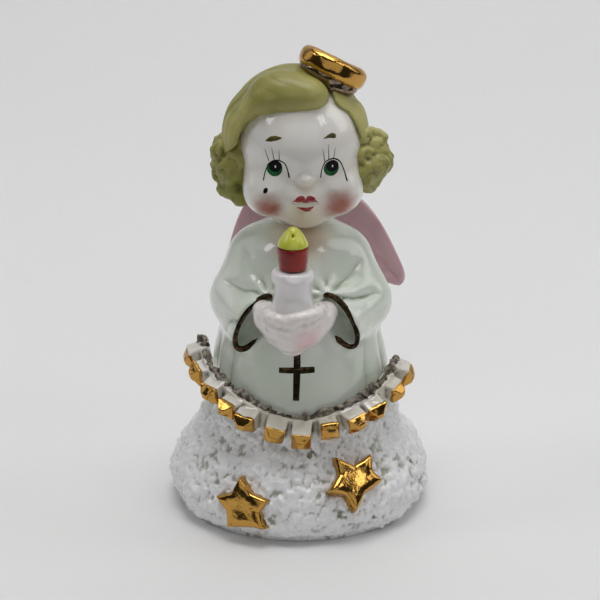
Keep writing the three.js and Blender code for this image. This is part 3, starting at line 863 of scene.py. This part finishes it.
def halo(p):
    q = (p - HALO) @ HALO_TURN
    flat = np.hypot(q[:, 0], q[:, 1]) - HALO_RADII[0]
    corner = np.stack([np.abs(flat) - 0.3, np.abs(q[:, 2] + 0.1) - 0.55], 1)
    ring = size_of(np.maximum(corner, 0)) + np.minimum(corner.max(1), 0) - 1.55
    return ring - 0.16 * noise(p, 3.2, 81) - 0.07 * noise(p, 1.3, 82)


clay("halo_form", halo, corners("halo"), halo_gold, 0.42)


def luting(p):
    """Clay squeezed out under the halo, with gold only smeared on it."""
    q = (p - HALO) @ HALO_TURN
    under = np.hypot(np.hypot(q[:, 0], q[:, 1]) - HALO_RADII[0] + 0.1, (q[:, 2] + 1.9) / 1.3) - 1.15
    rest = ellipsoid(p, (6.2, -0.6, 86.6), (5.0, 4.0, 1.6), turned(roll=20))
    return smooth_join(under, rest, 0.8) - 0.14 * noise(p, 1.5, 83)


luting_box = (HALO - (8, 7, 7), HALO + (8, 7, 3))
clay("halo_luting", luting, luting_box, luting_gold, 0.42, replaces=())


# ---- Candle, flame and hands ----

# Outlines as (radius, height above the candle's top).
CANDLE_OUTLINE = [
    (0, -11.5), (3.4, -11.4), (4.1, -10.2), (4.35, -8.4), (4.15, -7.0), (3.65, -4.8), (3.7, -3.0),
    (4.1, -1.5), (3.8, -0.3), (2.9, 0.0), (0, -0.1),
]
FLAME_FOOT_OUTLINE = [(0, 0.2), (2.4, 0.2), (2.75, 1.2), (2.95, 3.0), (3.0, 4.4), (2.9, 4.6), (0, 4.6)]
FLAME_TIP_OUTLINE = [
    (0, 4.7), (2.75, 4.7), (2.95, 5.1), (2.55, 6.1), (1.75, 7.3), (0.95, 8.2), (0.45, 8.45), (0, 8.5),
]
candle_body, flame_foot, flame_cone = (
    lathe(outline, 3.0) for outline in (CANDLE_OUTLINE, FLAME_FOOT_OUTLINE, FLAME_TIP_OUTLINE)
)


def candle(p):
    q = p - CANDLE
    drips = 0.18 * noise(p, 3.0, 91) * ramp(q[:, 2], -9, -2)
    shallow = ellipsoid(q, (0.8, -4.2, 0.1), (1.6, 1.0, 1.0))
    return smooth_cut(candle_body(q) - drips, shallow, 0.8)


clay("candle_form", candle, corners("candle"), candle_lustre, 0.42)
clay("flame_band_form", lambda p: flame_foot(p - CANDLE) - 0.06 * noise(p, 1.6, 92), corners("flame_band"),
     flame_red, 0.35)


def flame_tip(p):
    q = p - CANDLE
    dimple = ellipsoid(q, (0.1, -1.5, 7.1), (0.25, 0.5, 0.35))
    return smooth_cut(flame_cone(q) - 0.08 * noise(p, 2.0, 93), dimple, 0.3)


clay("flame_tip_form", flame_tip, corners("flame_tip"), flame_yellow, 0.35)


def hands(p):
    """Two hands pressed together round the foot of the candle, their fingers laced in front."""
    palms = [
        ellipsoid(p, (0, -17.4, 42.6), (5.6, 5.0, 4.6)),
        ellipsoid(p, (-0.3, -18.0, 39.1), (2.6, 2.5, 2.3)),
    ]
    fingers = []
    for side in (-1, 1):
        wrist = [(side * 6.3, -14.2, 44.6), (side * 5.0, -15.9, 43.9), (side * 3.0, -17.2, 41.5)]
        palms.append(chain(p, wrist, [2.0, 2.7, 2.7], 1.4))
        for row, narrow in enumerate((1.0, 0.95, 0.78, 0.52)):
            z = 45.9 - 1.75 * row + 0.35 * side
            path = smooth_curve([
                (side * 5.4 * narrow, -17.4, z), (side * 4.0 * narrow, -20.6 + 0.4 * row, z - 0.1),
                (side * 1.1, -22.3 + 0.55 * row, z - 0.35), (side * -1.2, -22.1 + 0.55 * row, z - 0.6),
            ], 7)
            fingers.append(chain(p, path, [0.95, 1.1, 1.15, 1.15, 1.1, 1.0, 0.8], 0.5))
    mass = join_all(palms, 1.5)
    return smooth_join(mass, join_all(fingers, 0.35), 0.8)


hand_low = np.minimum(corners("hand_left")[0], corners("hand_right")[0])
hand_high = np.maximum(corners("hand_left")[1], corners("hand_right")[1])
hands_box = (hand_low - (1.8, 2.2, 0.5), hand_high + (1.8, 1.2, 1.8))
clay("hands_form", hands, hands_box, hand_lustre, 0.42, replaces=("hand_left", "hand_right"))


# ---- Wings ----

WING_OUTLINE = [
    (0.6, 47.5), (0.8, 55.5), (5.5, 59.6), (10.2, 59.2), (14.6, 54.2), (18.6, 46.8), (20.4, 42.2),
    (19.3, 40.0), (16.6, 40.6), (13.4, 40.9), (10.0, 42.6), (7.0, 42.8), (4.4, 45.0),
]
WING_ROOTS = {"left": (-1, 0.2, 18, 1.0, 0.22), "right": (1, 1.0, 12, 1.0, 0.03)}


def wing(side, root_x, sweep, spread, droop):
    turn = turned(yaw=side * sweep)
    outline = smooth_curve([*WING_OUTLINE, WING_OUTLINE[0]], 70)[:-1]

    def field(p):
        q = (p - (root_x, 12.0, 0)) @ turn
        along = side * q[:, 0] / spread + droop * (54 - p[:, 2])
        edge = polygon_distance(along, p[:, 2], outline)
        fan = np.arctan2(p[:, 2] - 62, along + 4)
        feathers = np.abs(np.sin(9.0 * fan + 0.2 * noise(p, 6, 101))) ** 0.6
        inner = ramp(-edge, 0.7, 3.2)
        low = ramp(56 - p[:, 2], -2, 6)
        half = 1.3 - 0.6 * inner + 0.32 * (feathers - 0.5) * inner * low
        return smooth_meet(edge + 0.05, np.abs(q[:, 1]) - half, 1.1)

    return field


for ending, root in WING_ROOTS.items():
    node = "wing_" + ending
    clay(node + "_form", wing(*root), corners(node), wing_lustre, 0.5)


# ---- Pleated ribbon with gilt studs ----

PLEAT_ANGLES = (-77, -63.5, -50, -36, -25.5, -9.5, 5, 19.5, 34, 47.5, 64.5, 79)
pleat_random = np.random.default_rng(12)


def ribbon_height(angle):
    from_lowest = angle - math.radians(4.5)
    return 21.3 + (10.3 - 1.4 * np.sin(from_lowest)) * (1 - np.cos(from_lowest)) ** 0.7


def pleat_place(degrees):
    """Centre and axes (across, outwards, up) of one pleat, a little out of true as laid by hand."""
    angle = math.radians(degrees)
    slope = math.degrees(math.atan2(ribbon_height(angle + 0.05) - ribbon_height(angle - 0.05), 0.1 * 20.5))
    axes = turned(yaw=math.degrees(angle) + pleat_random.uniform(-7, 7))
    axes = axes @ turned(pitch=14 + pleat_random.uniform(-9, 9))
    axes = axes @ turned(roll=-0.6 * slope + pleat_random.uniform(-7, 7))
    centre = np.array([20.3 * math.sin(angle), -20.3 * math.cos(angle), ribbon_height(angle) - 0.1])
    return centre + (0, 0, pleat_random.uniform(-0.25, 0.25)), axes


pleat_places = [pleat_place(degrees) for degrees in PLEAT_ANGLES]
pleat_sizes = [np.array([1.98, 2.0, 1.95]) * pleat_random.uniform(0.9, 1.06, 3) for _ in PLEAT_ANGLES]


def block(p, centre, axes, half, rounding=0.35):
    q = np.abs((p - centre) @ axes) - half + rounding
    return size_of(np.maximum(q, 0)) + np.minimum(q.max(1), 0) - rounding


def ribbon(p):
    angle = np.arctan2(p[:, 0], -p[:, 1])
    rise = ribbon_height(angle)
    around = 18.6 + 0.9 * ramp(np.abs(angle), 0.1, 1.0)
    band = np.maximum(np.abs(np.hypot(p[:, 0], p[:, 1]) - around) - 1.0, np.abs(p[:, 2] - rise - 0.4) - 1.9)
    band = smooth_meet(band, (np.abs(angle + 0.02) - 1.43) * 18, 0.6)
    total = band - 0.25 * noise(p, 1.6, 111)
    for (centre, axes), half in zip(pleat_places, pleat_sizes):
        total = smooth_join(total, block(p, centre, axes, half), 0.45)
    return total - 0.07 * noise(p, 0.9, 112)


ribbon_low, ribbon_high = corners("hem_ribbon")
ribbon_box = (ribbon_low - (0.2, 0, 0.6), ribbon_high + (0.2, 0.8, 0.8))
clay("hem_ribbon_form", ribbon, ribbon_box, trim_glaze, 0.42)


def stud(centre, axes, half, lift):
    """A gilt pyramid on the outer face of a pleat."""

    def field(p):
        q = (p - centre) @ axes
        out = -q[:, 1] - half[1]
        beside, above = np.abs(q[:, 0]), np.abs(q[:, 2] - lift)
        slopes = np.maximum(beside / (half[0] + 0.15), above / (half[2] * 0.95)) + out / 2.1
        sides = np.maximum(beside - half[0] - 0.04, above - half[2] * 0.9)
        shape = np.maximum(np.maximum((slopes - 1.0) * 1.3, sides), -out - 0.6) - 0.12 * noise(p, 1.2, 113)
        return smooth_meet(shape, out - 1.5, 0.2)

    return field


stud_parts = []
for (centre, axes), half in zip(pleat_places, pleat_sizes):
    lift = pleat_random.uniform(-0.25, 0.6)
    face = centre - axes @ np.array([0, half[1] + 0.4, 0])
    stud_parts.append(sculpt(stud(centre, axes, half, lift), (face - 2.6, face + 2.6), 0.3, 1, 0.3))
stud_verts, stud_faces = merged(stud_parts)
stud_hollow = np.concatenate([hollows(verts, faces, 3) for verts, faces in stud_parts])
piece("gilt_studs", stud_verts, stud_faces, gold, marks={"hollow": stud_hollow})

# A ragged dark brown bead, flecked light grey, along the ribbon's top edge where it meets the robe.
edge_angles = np.radians(np.linspace(-81, 80, 420))
away = np.abs(edge_angles)
edge_radius = 18.4 + 1.2 * np.minimum(1, away / 0.9) ** 2
edge_path = np.stack([
    edge_radius * np.sin(edge_angles), -edge_radius * np.cos(edge_angles),
    ribbon_height(edge_angles) + 2.25 + 0.3 * np.sin(2 * away),
], 1)
edge_path += 0.55 * np.stack([noise(edge_path, 1.2, seed) for seed in (121, 124, 125)], 1)
edge_widths = 0.72 + 0.3 * noise(edge_path, 2.6, 128) + 0.5 * noise(edge_path, 0.8, 122)
edge_verts, edge_faces = tube(edge_path, edge_widths, 14)
edge_verts = edge_verts + 0.34 * np.stack([noise(edge_verts, 0.5, seed) for seed in (123, 126, 127)], 1)
piece("trim_edge", edge_verts, edge_faces, edge_enamel)


# ---- Gilt stars ----

# Each corner of the outline, tip and notch by turns, as (degrees, distance from the centre before growth).
STAR_GROWTH = 1.08
STARS = {
    "left": dict(angle=-20.8, z=7.6, radius=26.0, lean=12, corners=(
        (102, 5.4), (134, 3.2), (170, 5.6), (204, 3.4), (238, 5.1), (281, 3.7), (326, 6.0), (354, 3.5),
        (21, 5.1), (59, 3.0),
    )),
    "right": dict(angle=30.0, z=12.2, radius=24.2, lean=36, corners=(
        (120, 5.8), (153, 3.4), (192, 6.0), (223, 3.7), (255, 5.9), (288, 3.1), (348, 5.2), (12, 4.0),
        (44, 5.9), (80, 2.7),
    )),
}


def star(angle, z, radius, lean, corners):
    axes = turned(yaw=angle) @ turned(pitch=-lean)
    place = np.array([radius * math.sin(math.radians(angle)), -radius * math.cos(math.radians(angle)), z])
    outline = [
        (STAR_GROWTH * reach * math.cos(math.radians(t)), STAR_GROWTH * reach * math.sin(math.radians(t)))
        for t, reach in corners
    ]

    def field(p):
        q = (p - place) @ axes
        edge = polygon_distance(q[:, 0], q[:, 2], outline) + 0.14 * noise(p, 1.4, 131)
        front = -q[:, 1] - 1.15 - 0.2 * ramp(-edge, -0.2, 1.6) - 0.24 * noise(p, 2.4, 132)
        return smooth_meet(smooth_meet(edge, front, 0.8), q[:, 1] - 1.6, 0.3)

    return field


for ending, place in STARS.items():
    node = "star_" + ending
    star_low, star_high = corners(node)
    star_box = (star_low - 1.5, star_high + 1.5)
    clay(node + "_form", star(**place), star_box, gold, 0.36, rounds=4)


# ---- Clapper and its hanger ----

WIRE = 0.55
WIRE_SIDES = 12


def wire_piece(node, verts, faces, body="bell"):
    """A bent wire that stands for a CAD node. Nothing on it is marked as hollow."""
    marks = {"hollow": np.zeros(len(verts))}
    piece(node + "_form", verts, faces, steel, body, (node,), marks)


def circle(centre, radius, axis, count=48):
    turns = np.arange(count) * 2 * math.pi / count
    points = np.zeros((count, 3))
    points[:, 0 if axis == "y" else 1] = radius * np.cos(turns)
    points[:, 2] = radius * np.sin(turns)
    return points + np.array(centre)


cement_low, cement_high = corners("hanger_cement")
cement_middle = (cement_low + cement_high) / 2


def cement_pat(p):
    pat = ellipsoid(p, cement_middle + (0, 0, 0.6), (4.6, 4.6, 1.6))
    return pat - 0.3 * noise(p, 2.0, 141) - 0.12 * noise(p, 0.8, 142)


clay("hanger_cement_form", cement_pat, (cement_low, cement_high + (0, 0, 0.8)), cement, 0.35)

staple_high = corners("hanger_staple")[1]
spread = staple_high[1] - WIRE
bend = np.linspace(math.pi, 2 * math.pi, 17)
staple_path = [(0, -spread, staple_high[2])] + [
    (0, spread * math.cos(a), PIVOT[2] + spread * (1 + math.sin(a))) for a in bend
] + [(0, spread, staple_high[2])]
wire_piece("hanger_staple", *tube(staple_path, WIRE, WIRE_SIDES))

ring_low, ring_high = corners("clapper_ring")
ring_path = circle((ring_low + ring_high) / 2, ring_high[0] - WIRE, "y")
wire_piece("clapper_ring", *tube(ring_path, WIRE, WIRE_SIDES, closed=True), "link")

wire_low, wire_high = corners("clapper_wire")
eye_radius = wire_high[1] - WIRE
eye_centre = np.array([0, 0, wire_high[2] - wire_high[1]])
stem = np.linspace(eye_centre - (0, 0, eye_radius), (0, 0, wire_low[2] + WIRE), 30)
eye = tube(circle(eye_centre, eye_radius, "x"), WIRE, WIRE_SIDES, closed=True)
wire_piece("clapper_wire", *merged([eye, tube(stem, WIRE, WIRE_SIDES)]), "clapper")


def bead(p):
    hole = rod(p, BEAD + (0, 0, 3.0), BEAD + (0, 0, 9), WIRE + 0.3, WIRE + 0.3)
    radius = corners("clapper_bead")[1][0]
    ball = size_of(p - BEAD) - radius + 0.02 * (1 + noise(p, 2.5, 151))
    return smooth_cut(ball, hole, 0.5)


clay("clapper_bead_form", bead, corners("clapper_bead"), bead_glaze, 0.45, body="clapper")


# ---- Painted face, cuff lines and cross ----


def surface_of(obj):
    verts = [vertex.co / MM for vertex in obj.data.vertices]
    return BVHTree.FromPolygons(verts, [tuple(face.vertices) for face in obj.data.polygons])


def touch(tree, start, direction):
    place, normal, _, _ = tree.ray_cast(Vector(start), Vector(direction))
    return np.array(place), np.array(normal)


STROKE_SIDES = 8


def stroke(tree, path, half_widths, direction, height=0.07, count=24):
    """A raised brush stroke on a surface, as a closed flattened tube."""
    path = smooth_curve(path, count)
    widths = np.interp(np.linspace(0, 1, count), np.linspace(0, 1, len(half_widths)), half_widths)
    hits = [touch(tree, point, direction) for point in path]
    points = np.array([place for place, _ in hits])
    ups = np.array([normal for _, normal in hits])
    along = np.gradient(points, axis=0)
    sides = np.cross(along, ups)
    sides /= size_of(sides)[:, None]
    corner = np.arange(STROKE_SIDES)
    turns = corner * 2 * math.pi / STROKE_SIDES
    rings = points[:, None] + sides[:, None] * (widths[:, None] * np.cos(turns))[..., None]
    rings += ups[:, None] * (height * np.sin(turns))[None, :, None]
    verts = rings.reshape(-1, 3)
    after = (corner + 1) % STROKE_SIDES
    faces = []
    for here in range(0, STROKE_SIDES * (count - 1), STROKE_SIDES):
        there = here + STROKE_SIDES
        faces += np.stack([here + corner, here + after, there + after, there + corner], 1).tolist()
    faces += [corner[::-1].tolist(), (STROKE_SIDES * (count - 1) + corner).tolist()]
    return verts, faces


def dab(tree, start, radii, direction, height=0.1, lean=0.0, rings=6, sides=24):
    """A raised oval of paint on a surface, with its edge just under the glaze."""
    direction = np.array(direction)
    right = np.cross(direction, (0, 0, 1))
    right /= np.linalg.norm(right)
    up = np.cross(right, direction)
    right, up = math.cos(lean) * right + math.sin(lean) * up, math.cos(lean) * up - math.sin(lean) * right
    place, normal = touch(tree, start, direction)
    verts = [place + normal * height]
    for ring in range(1, rings + 1):
        share = ring / rings
        for k in range(sides):
            turn = 2 * math.pi * k / sides
            offset = radii[0] * math.cos(turn) * right + radii[1] * math.sin(turn) * up
            spot = np.array(start) + share * offset
            place, normal = touch(tree, spot, direction)
            verts.append(place + normal * (height * math.sqrt(1 - share**2) - 0.03 * (share == 1)))
    verts.append(verts[0] - normal * (height + 0.4))
    faces = [(0, 1 + k, 1 + (k + 1) % sides) for k in range(sides)]
    for ring in range(rings - 1):
        a, b = 1 + ring * sides, 1 + (ring + 1) * sides
        faces += [(a + k, b + k, b + (k + 1) % sides, a + (k + 1) % sides) for k in range(sides)]
    last = 1 + (rings - 1) * sides
    faces += [(last + (k + 1) % sides, last + k, len(verts) - 1) for k in range(sides)]
    return np.array(verts), faces


def paint(name, parts, shader):
    verts, faces = merged(parts)
    piece(name, verts, faces, shader, marks={"hollow": np.zeros(len(verts))})


skin_tree = surface_of(head_piece)
INWARDS = HEAD_TURN @ np.array([0, 1.0, 0])


def face_spot(x, z):
    return HEAD + HEAD_TURN @ np.array([x, -24, z])


def face_stroke(points, half_widths, height=0.07):
    return stroke(skin_tree, [face_spot(x, z) for x, z in points], half_widths, INWARDS, height)


def face_dab(x, z, radii, height=0.1, lean=0.0):
    return dab(skin_tree, face_spot(x, z), radii, INWARDS, height, lean)


EYES = [(-5.76, -1.15), (5.07, -1.22)]
LIDS = [
    [(-7.94, -3.7), (-7.4, -1.65), (-6.49, -0.1), (-5.3, 0.4), (-4.0, -0.1), (-3.4, -1.4), (-3.05, -2.95)],
    [(2.94, -3.08), (3.2, -1.4), (3.85, 0.0), (5.3, 0.55), (6.66, -0.2), (7.5, -2.0), (8.1, -4.1)],
]
LASHES = [
    [(-6.85, 0.1), (-7.56, 2.41)], [(-5.85, 0.3), (-6.35, 2.81)], [(-4.92, 0.3), (-5.0, 2.51)],
    [(3.7, 0.1), (3.3, 2.79)], [(4.5, 0.4), (4.38, 3.5)], [(5.4, 0.4), (5.75, 2.67)],
]
BROWS = [[(-7.4, 3.9), (-6.1, 4.45), (-4.5, 4.75)], [(3.5, 4.6), (4.8, 4.95), (5.85, 4.8)]]

# Each layer of an eye: its offset from the eye's place, radii, height of the paint and shader.
EYE_LAYERS = {
    "eye_iris": ((-0.05, -0.15), (1.62, 1.68), 0.06, green_paint),
    "eye_pupil": ((0.1, 0.25), (1.36, 1.3), 0.13, black_paint),
    "eye_light": ((0.15, 0.25), (0.2, 0.36), 0.2, white_paint),
}

for name, ((across, above), radii, height, shader) in EYE_LAYERS.items():
    dabs = [face_dab(x + across, z + above, radii, height) for x, z in EYES]
    paint(name, dabs, shader)
lines = [face_stroke(line, [0.13, 0.1, 0.13, 0.16, 0.13, 0.12, 0.16]) for line in LIDS]
lines += [face_stroke([lash[0], np.mean(lash, 0), lash[1]], [0.09, 0.07, 0.02], 0.05) for lash in LASHES]
lines.append(face_dab(-7.57, -5.5, (0.42, 0.62), 0.12, -0.5))
paint("eye_lines", lines, black_paint)
brows = [face_stroke(BROWS[0], [0.12, 0.5, 0.5, 0.15]), face_stroke(BROWS[1], [0.06, 0.32, 0.55, 0.4])]
paint("brows", brows, brow_paint)
lips = [
    face_dab(-1.02, -6.95, (1.0, 0.64), 0.1, 0.35),
    face_dab(1.0, -6.95, (1.0, 0.64), 0.1, -0.35),
    face_dab(0.0, -7.3, (0.9, 0.46), 0.1),
    face_stroke([(-2.5, -7.5), (-1.8, -7.3), (-1.0, -7.05)], [0.05, 0.3, 0.5], 0.08),
    face_stroke([(2.35, -7.6), (1.7, -7.35), (1.0, -7.05)], [0.05, 0.3, 0.5], 0.08),
    face_stroke([(-1.7, -8.6), (-0.7, -8.85), (0.5, -8.95), (1.5, -8.55)], [0.05, 0.3, 0.4, 0.15], 0.08),
    face_dab(0.3, -9.15, (0.85, 0.4), 0.1),
]
paint("lips", lips, lip_paint)

robe_tree = surface_of(robe_piece)
CROSS = np.array([0.53, -26, 33.0])
CROSS_BARS = [
    ([CROSS + (0, 0, 4.2), CROSS, CROSS - (0.1, 0, 5.9)], [0.62, 0.68, 0.68, 0.62]),
    ([CROSS + (-3.5, 0, -0.1), CROSS, CROSS + (3.4, 0, 0.1)], [0.55, 0.6, 0.66, 0.6]),
]
cross_parts = [stroke(robe_tree, path, widths, (0, 1, 0), 0.1) for path, widths in CROSS_BARS]


def cuff_line(side):
    """The gilt line round a cuff, open where the wrist comes out of the sleeve."""
    turns = np.radians(np.linspace(-155, 100, 70))
    across, along = CUFF_RADII[side]
    ring = [(side * across * math.cos(t), along * math.sin(t), 0.05) for t in turns]
    path = CUFFS[side] + np.array(ring) @ cuff_frame(side).T
    width = 0.54 + 0.08 * np.sin(turns * 2 + side)
    width[:4] *= np.linspace(0.3, 1, 4)
    width[-4:] *= np.linspace(1, 0.3, 4)
    return tube(path, width, 10)


paint("gilt_lines", [*cross_parts, cuff_line(-1), cuff_line(1)], line_gold)


# ---- Blush, painted shade on the face and the robe's neck, and other soft patches, added to each glaze's own colour ----


def tint(shader, spot, radius, colour, strength):
    """Soft-edged patch of colour round a place on the surface, in mm."""
    away = shader.node("VectorMath")
    away.operation = "DISTANCE"
    shader.feed(away.inputs[0], shader.node("TexCoord").outputs["Object"])
    away.inputs[1].default_value = tuple(spot * MM)
    cloudy = shader.maths("ADD", away.outputs["Value"], shader.maths("MULTIPLY", shader.noise(450.0), 0.0012))
    share = shader.span(cloudy, radius * 1.15 * MM, radius * 0.3 * MM, 0.0, strength)
    shader.colour(shader.mix(share, shader.main.inputs["Base Color"].links[0].from_socket, colour))


def on_face(x, z):
    return touch(skin_tree, face_spot(x, z), INWARDS)[0]


# Painted shade over the chin, warm in hue.
tint(skin_glaze, on_face(0.2, -11.2), 6.0, srgb(214, 198, 166), 0.7)
# Painted shade under the nose.
tint(skin_glaze, on_face(0.1, -4.6), 3.2, srgb(222, 206, 184), 0.45)
tint(skin_glaze, on_face(-7.1, -9.4), 4.3, srgb(152, 56, 0), 0.97)
tint(skin_glaze, on_face(6.7, -9.2), 4.9, srgb(160, 58, 0), 0.97)
# A skin-like tint on the robe's neck, darkened as painted shade under the chin.
tint(robe_glaze, np.array([0.6, -7.5, ROBE_TOP - 0.6]), 8.0, srgb(216, 190, 156), 0.9)
tint(hair_enamel, HAIR + (-2, -4, 13.4), 11.0, srgb(128, 124, 46), 0.85)
tint(hand_lustre, np.array([3.2, -21.5, 40.8]), 4.6, srgb(232, 176, 178), 0.6)


# ---- Studio ----


def backdrop():
    profile = [(-0.16, 0.0), (0.25, 0.0)]
    bend = np.linspace(0.1, math.pi / 2, 16)
    profile += [(0.25 + 0.35 * math.sin(a), 0.35 * (1 - math.cos(a))) for a in bend]
    profile.append((0.6, 1.2))
    verts = [(x, y, z) for y, z in profile for x in (-1.6, 1.6)]
    faces = [(2 * i, 2 * i + 1, 2 * i + 3, 2 * i + 2) for i in range(len(profile) - 1)]
    mesh = bpy.data.meshes.new("backdrop")
    mesh.from_pydata(verts, [], faces)
    mesh.polygons.foreach_set("use_smooth", np.ones(len(faces), bool))
    paper = Shader("backdrop_paper", Roughness=0.8)
    paper.colour(paper.mix(paper.noise(3.0), srgb(231, 231, 231), srgb(227, 227, 227)))
    mesh.materials.append(paper.material)
    obj = bpy.data.objects.new("backdrop", mesh)
    bpy.context.scene.collection.objects.link(obj)


def softbox(name, place, size, power, colour=(1, 1, 1)):
    data = bpy.data.lights.new(name, "AREA")
    data.shape = "RECTANGLE"
    data.size, data.size_y = size
    data.energy = power
    data.color = colour
    light = bpy.data.objects.new(name, data)
    light.location = place
    light.rotation_mode = "QUATERNION"
    light.rotation_quaternion = (Vector((0, 0, 0.05)) - Vector(place)).to_track_quat("-Z", "Y")
    bpy.context.scene.collection.objects.link(light)


backdrop()
# Each softbox: name, place, size and power.
softbox("top", (0, -0.05, 1.0), (0.6, 0.5), 4.1)
softbox("back_high", (0.05, 0.3, 0.85), (0.9, 0.7), 1.7)
softbox("right", (0.75, 0.1, 0.55), (0.4, 0.6), 1.1)
softbox("left", (-0.8, 0.15, 0.45), (0.4, 0.6), 0.45)
softbox("front_wide", (0.1, -0.9, 0.5), (1.2, 0.8), 1.7)
softbox("window_left", (-0.66, -0.16, 0.66), (0.2, 0.26), 0.65)
softbox("window_right", (0.52, -0.32, 0.7), (0.18, 0.22), 0.4)

world = bpy.data.worlds.new("room")
bpy.context.scene.world = world
world.use_nodes = True
ambient = world.node_tree.nodes["Background"]
ambient.inputs["Color"].default_value = (1.0, 1.0, 1.02, 1)
ambient.inputs["Strength"].default_value = 0.03

scene = bpy.context.scene
scene.view_settings.view_transform = "Standard"

CAMERA_AIM = Vector((0, 0, 0.0418))
CAMERA_DISTANCE = 0.42
azimuth, elevation = math.radians(4), math.radians(19.5)
back = Vector((
    math.sin(azimuth) * math.cos(elevation), -math.cos(azimuth) * math.cos(elevation), math.sin(elevation),
))
camera_data = bpy.data.cameras.new("camera")
camera_data.lens = 126
camera_data.sensor_width = 36
camera_data.clip_start = 0.01
camera = bpy.data.objects.new("camera", camera_data)
camera.location = CAMERA_AIM + CAMERA_DISTANCE * back
camera.rotation_mode = "QUATERNION"
camera.rotation_quaternion = (-back).to_track_quat("-Z", "Y")
scene.collection.objects.link(camera)
scene.camera = camera
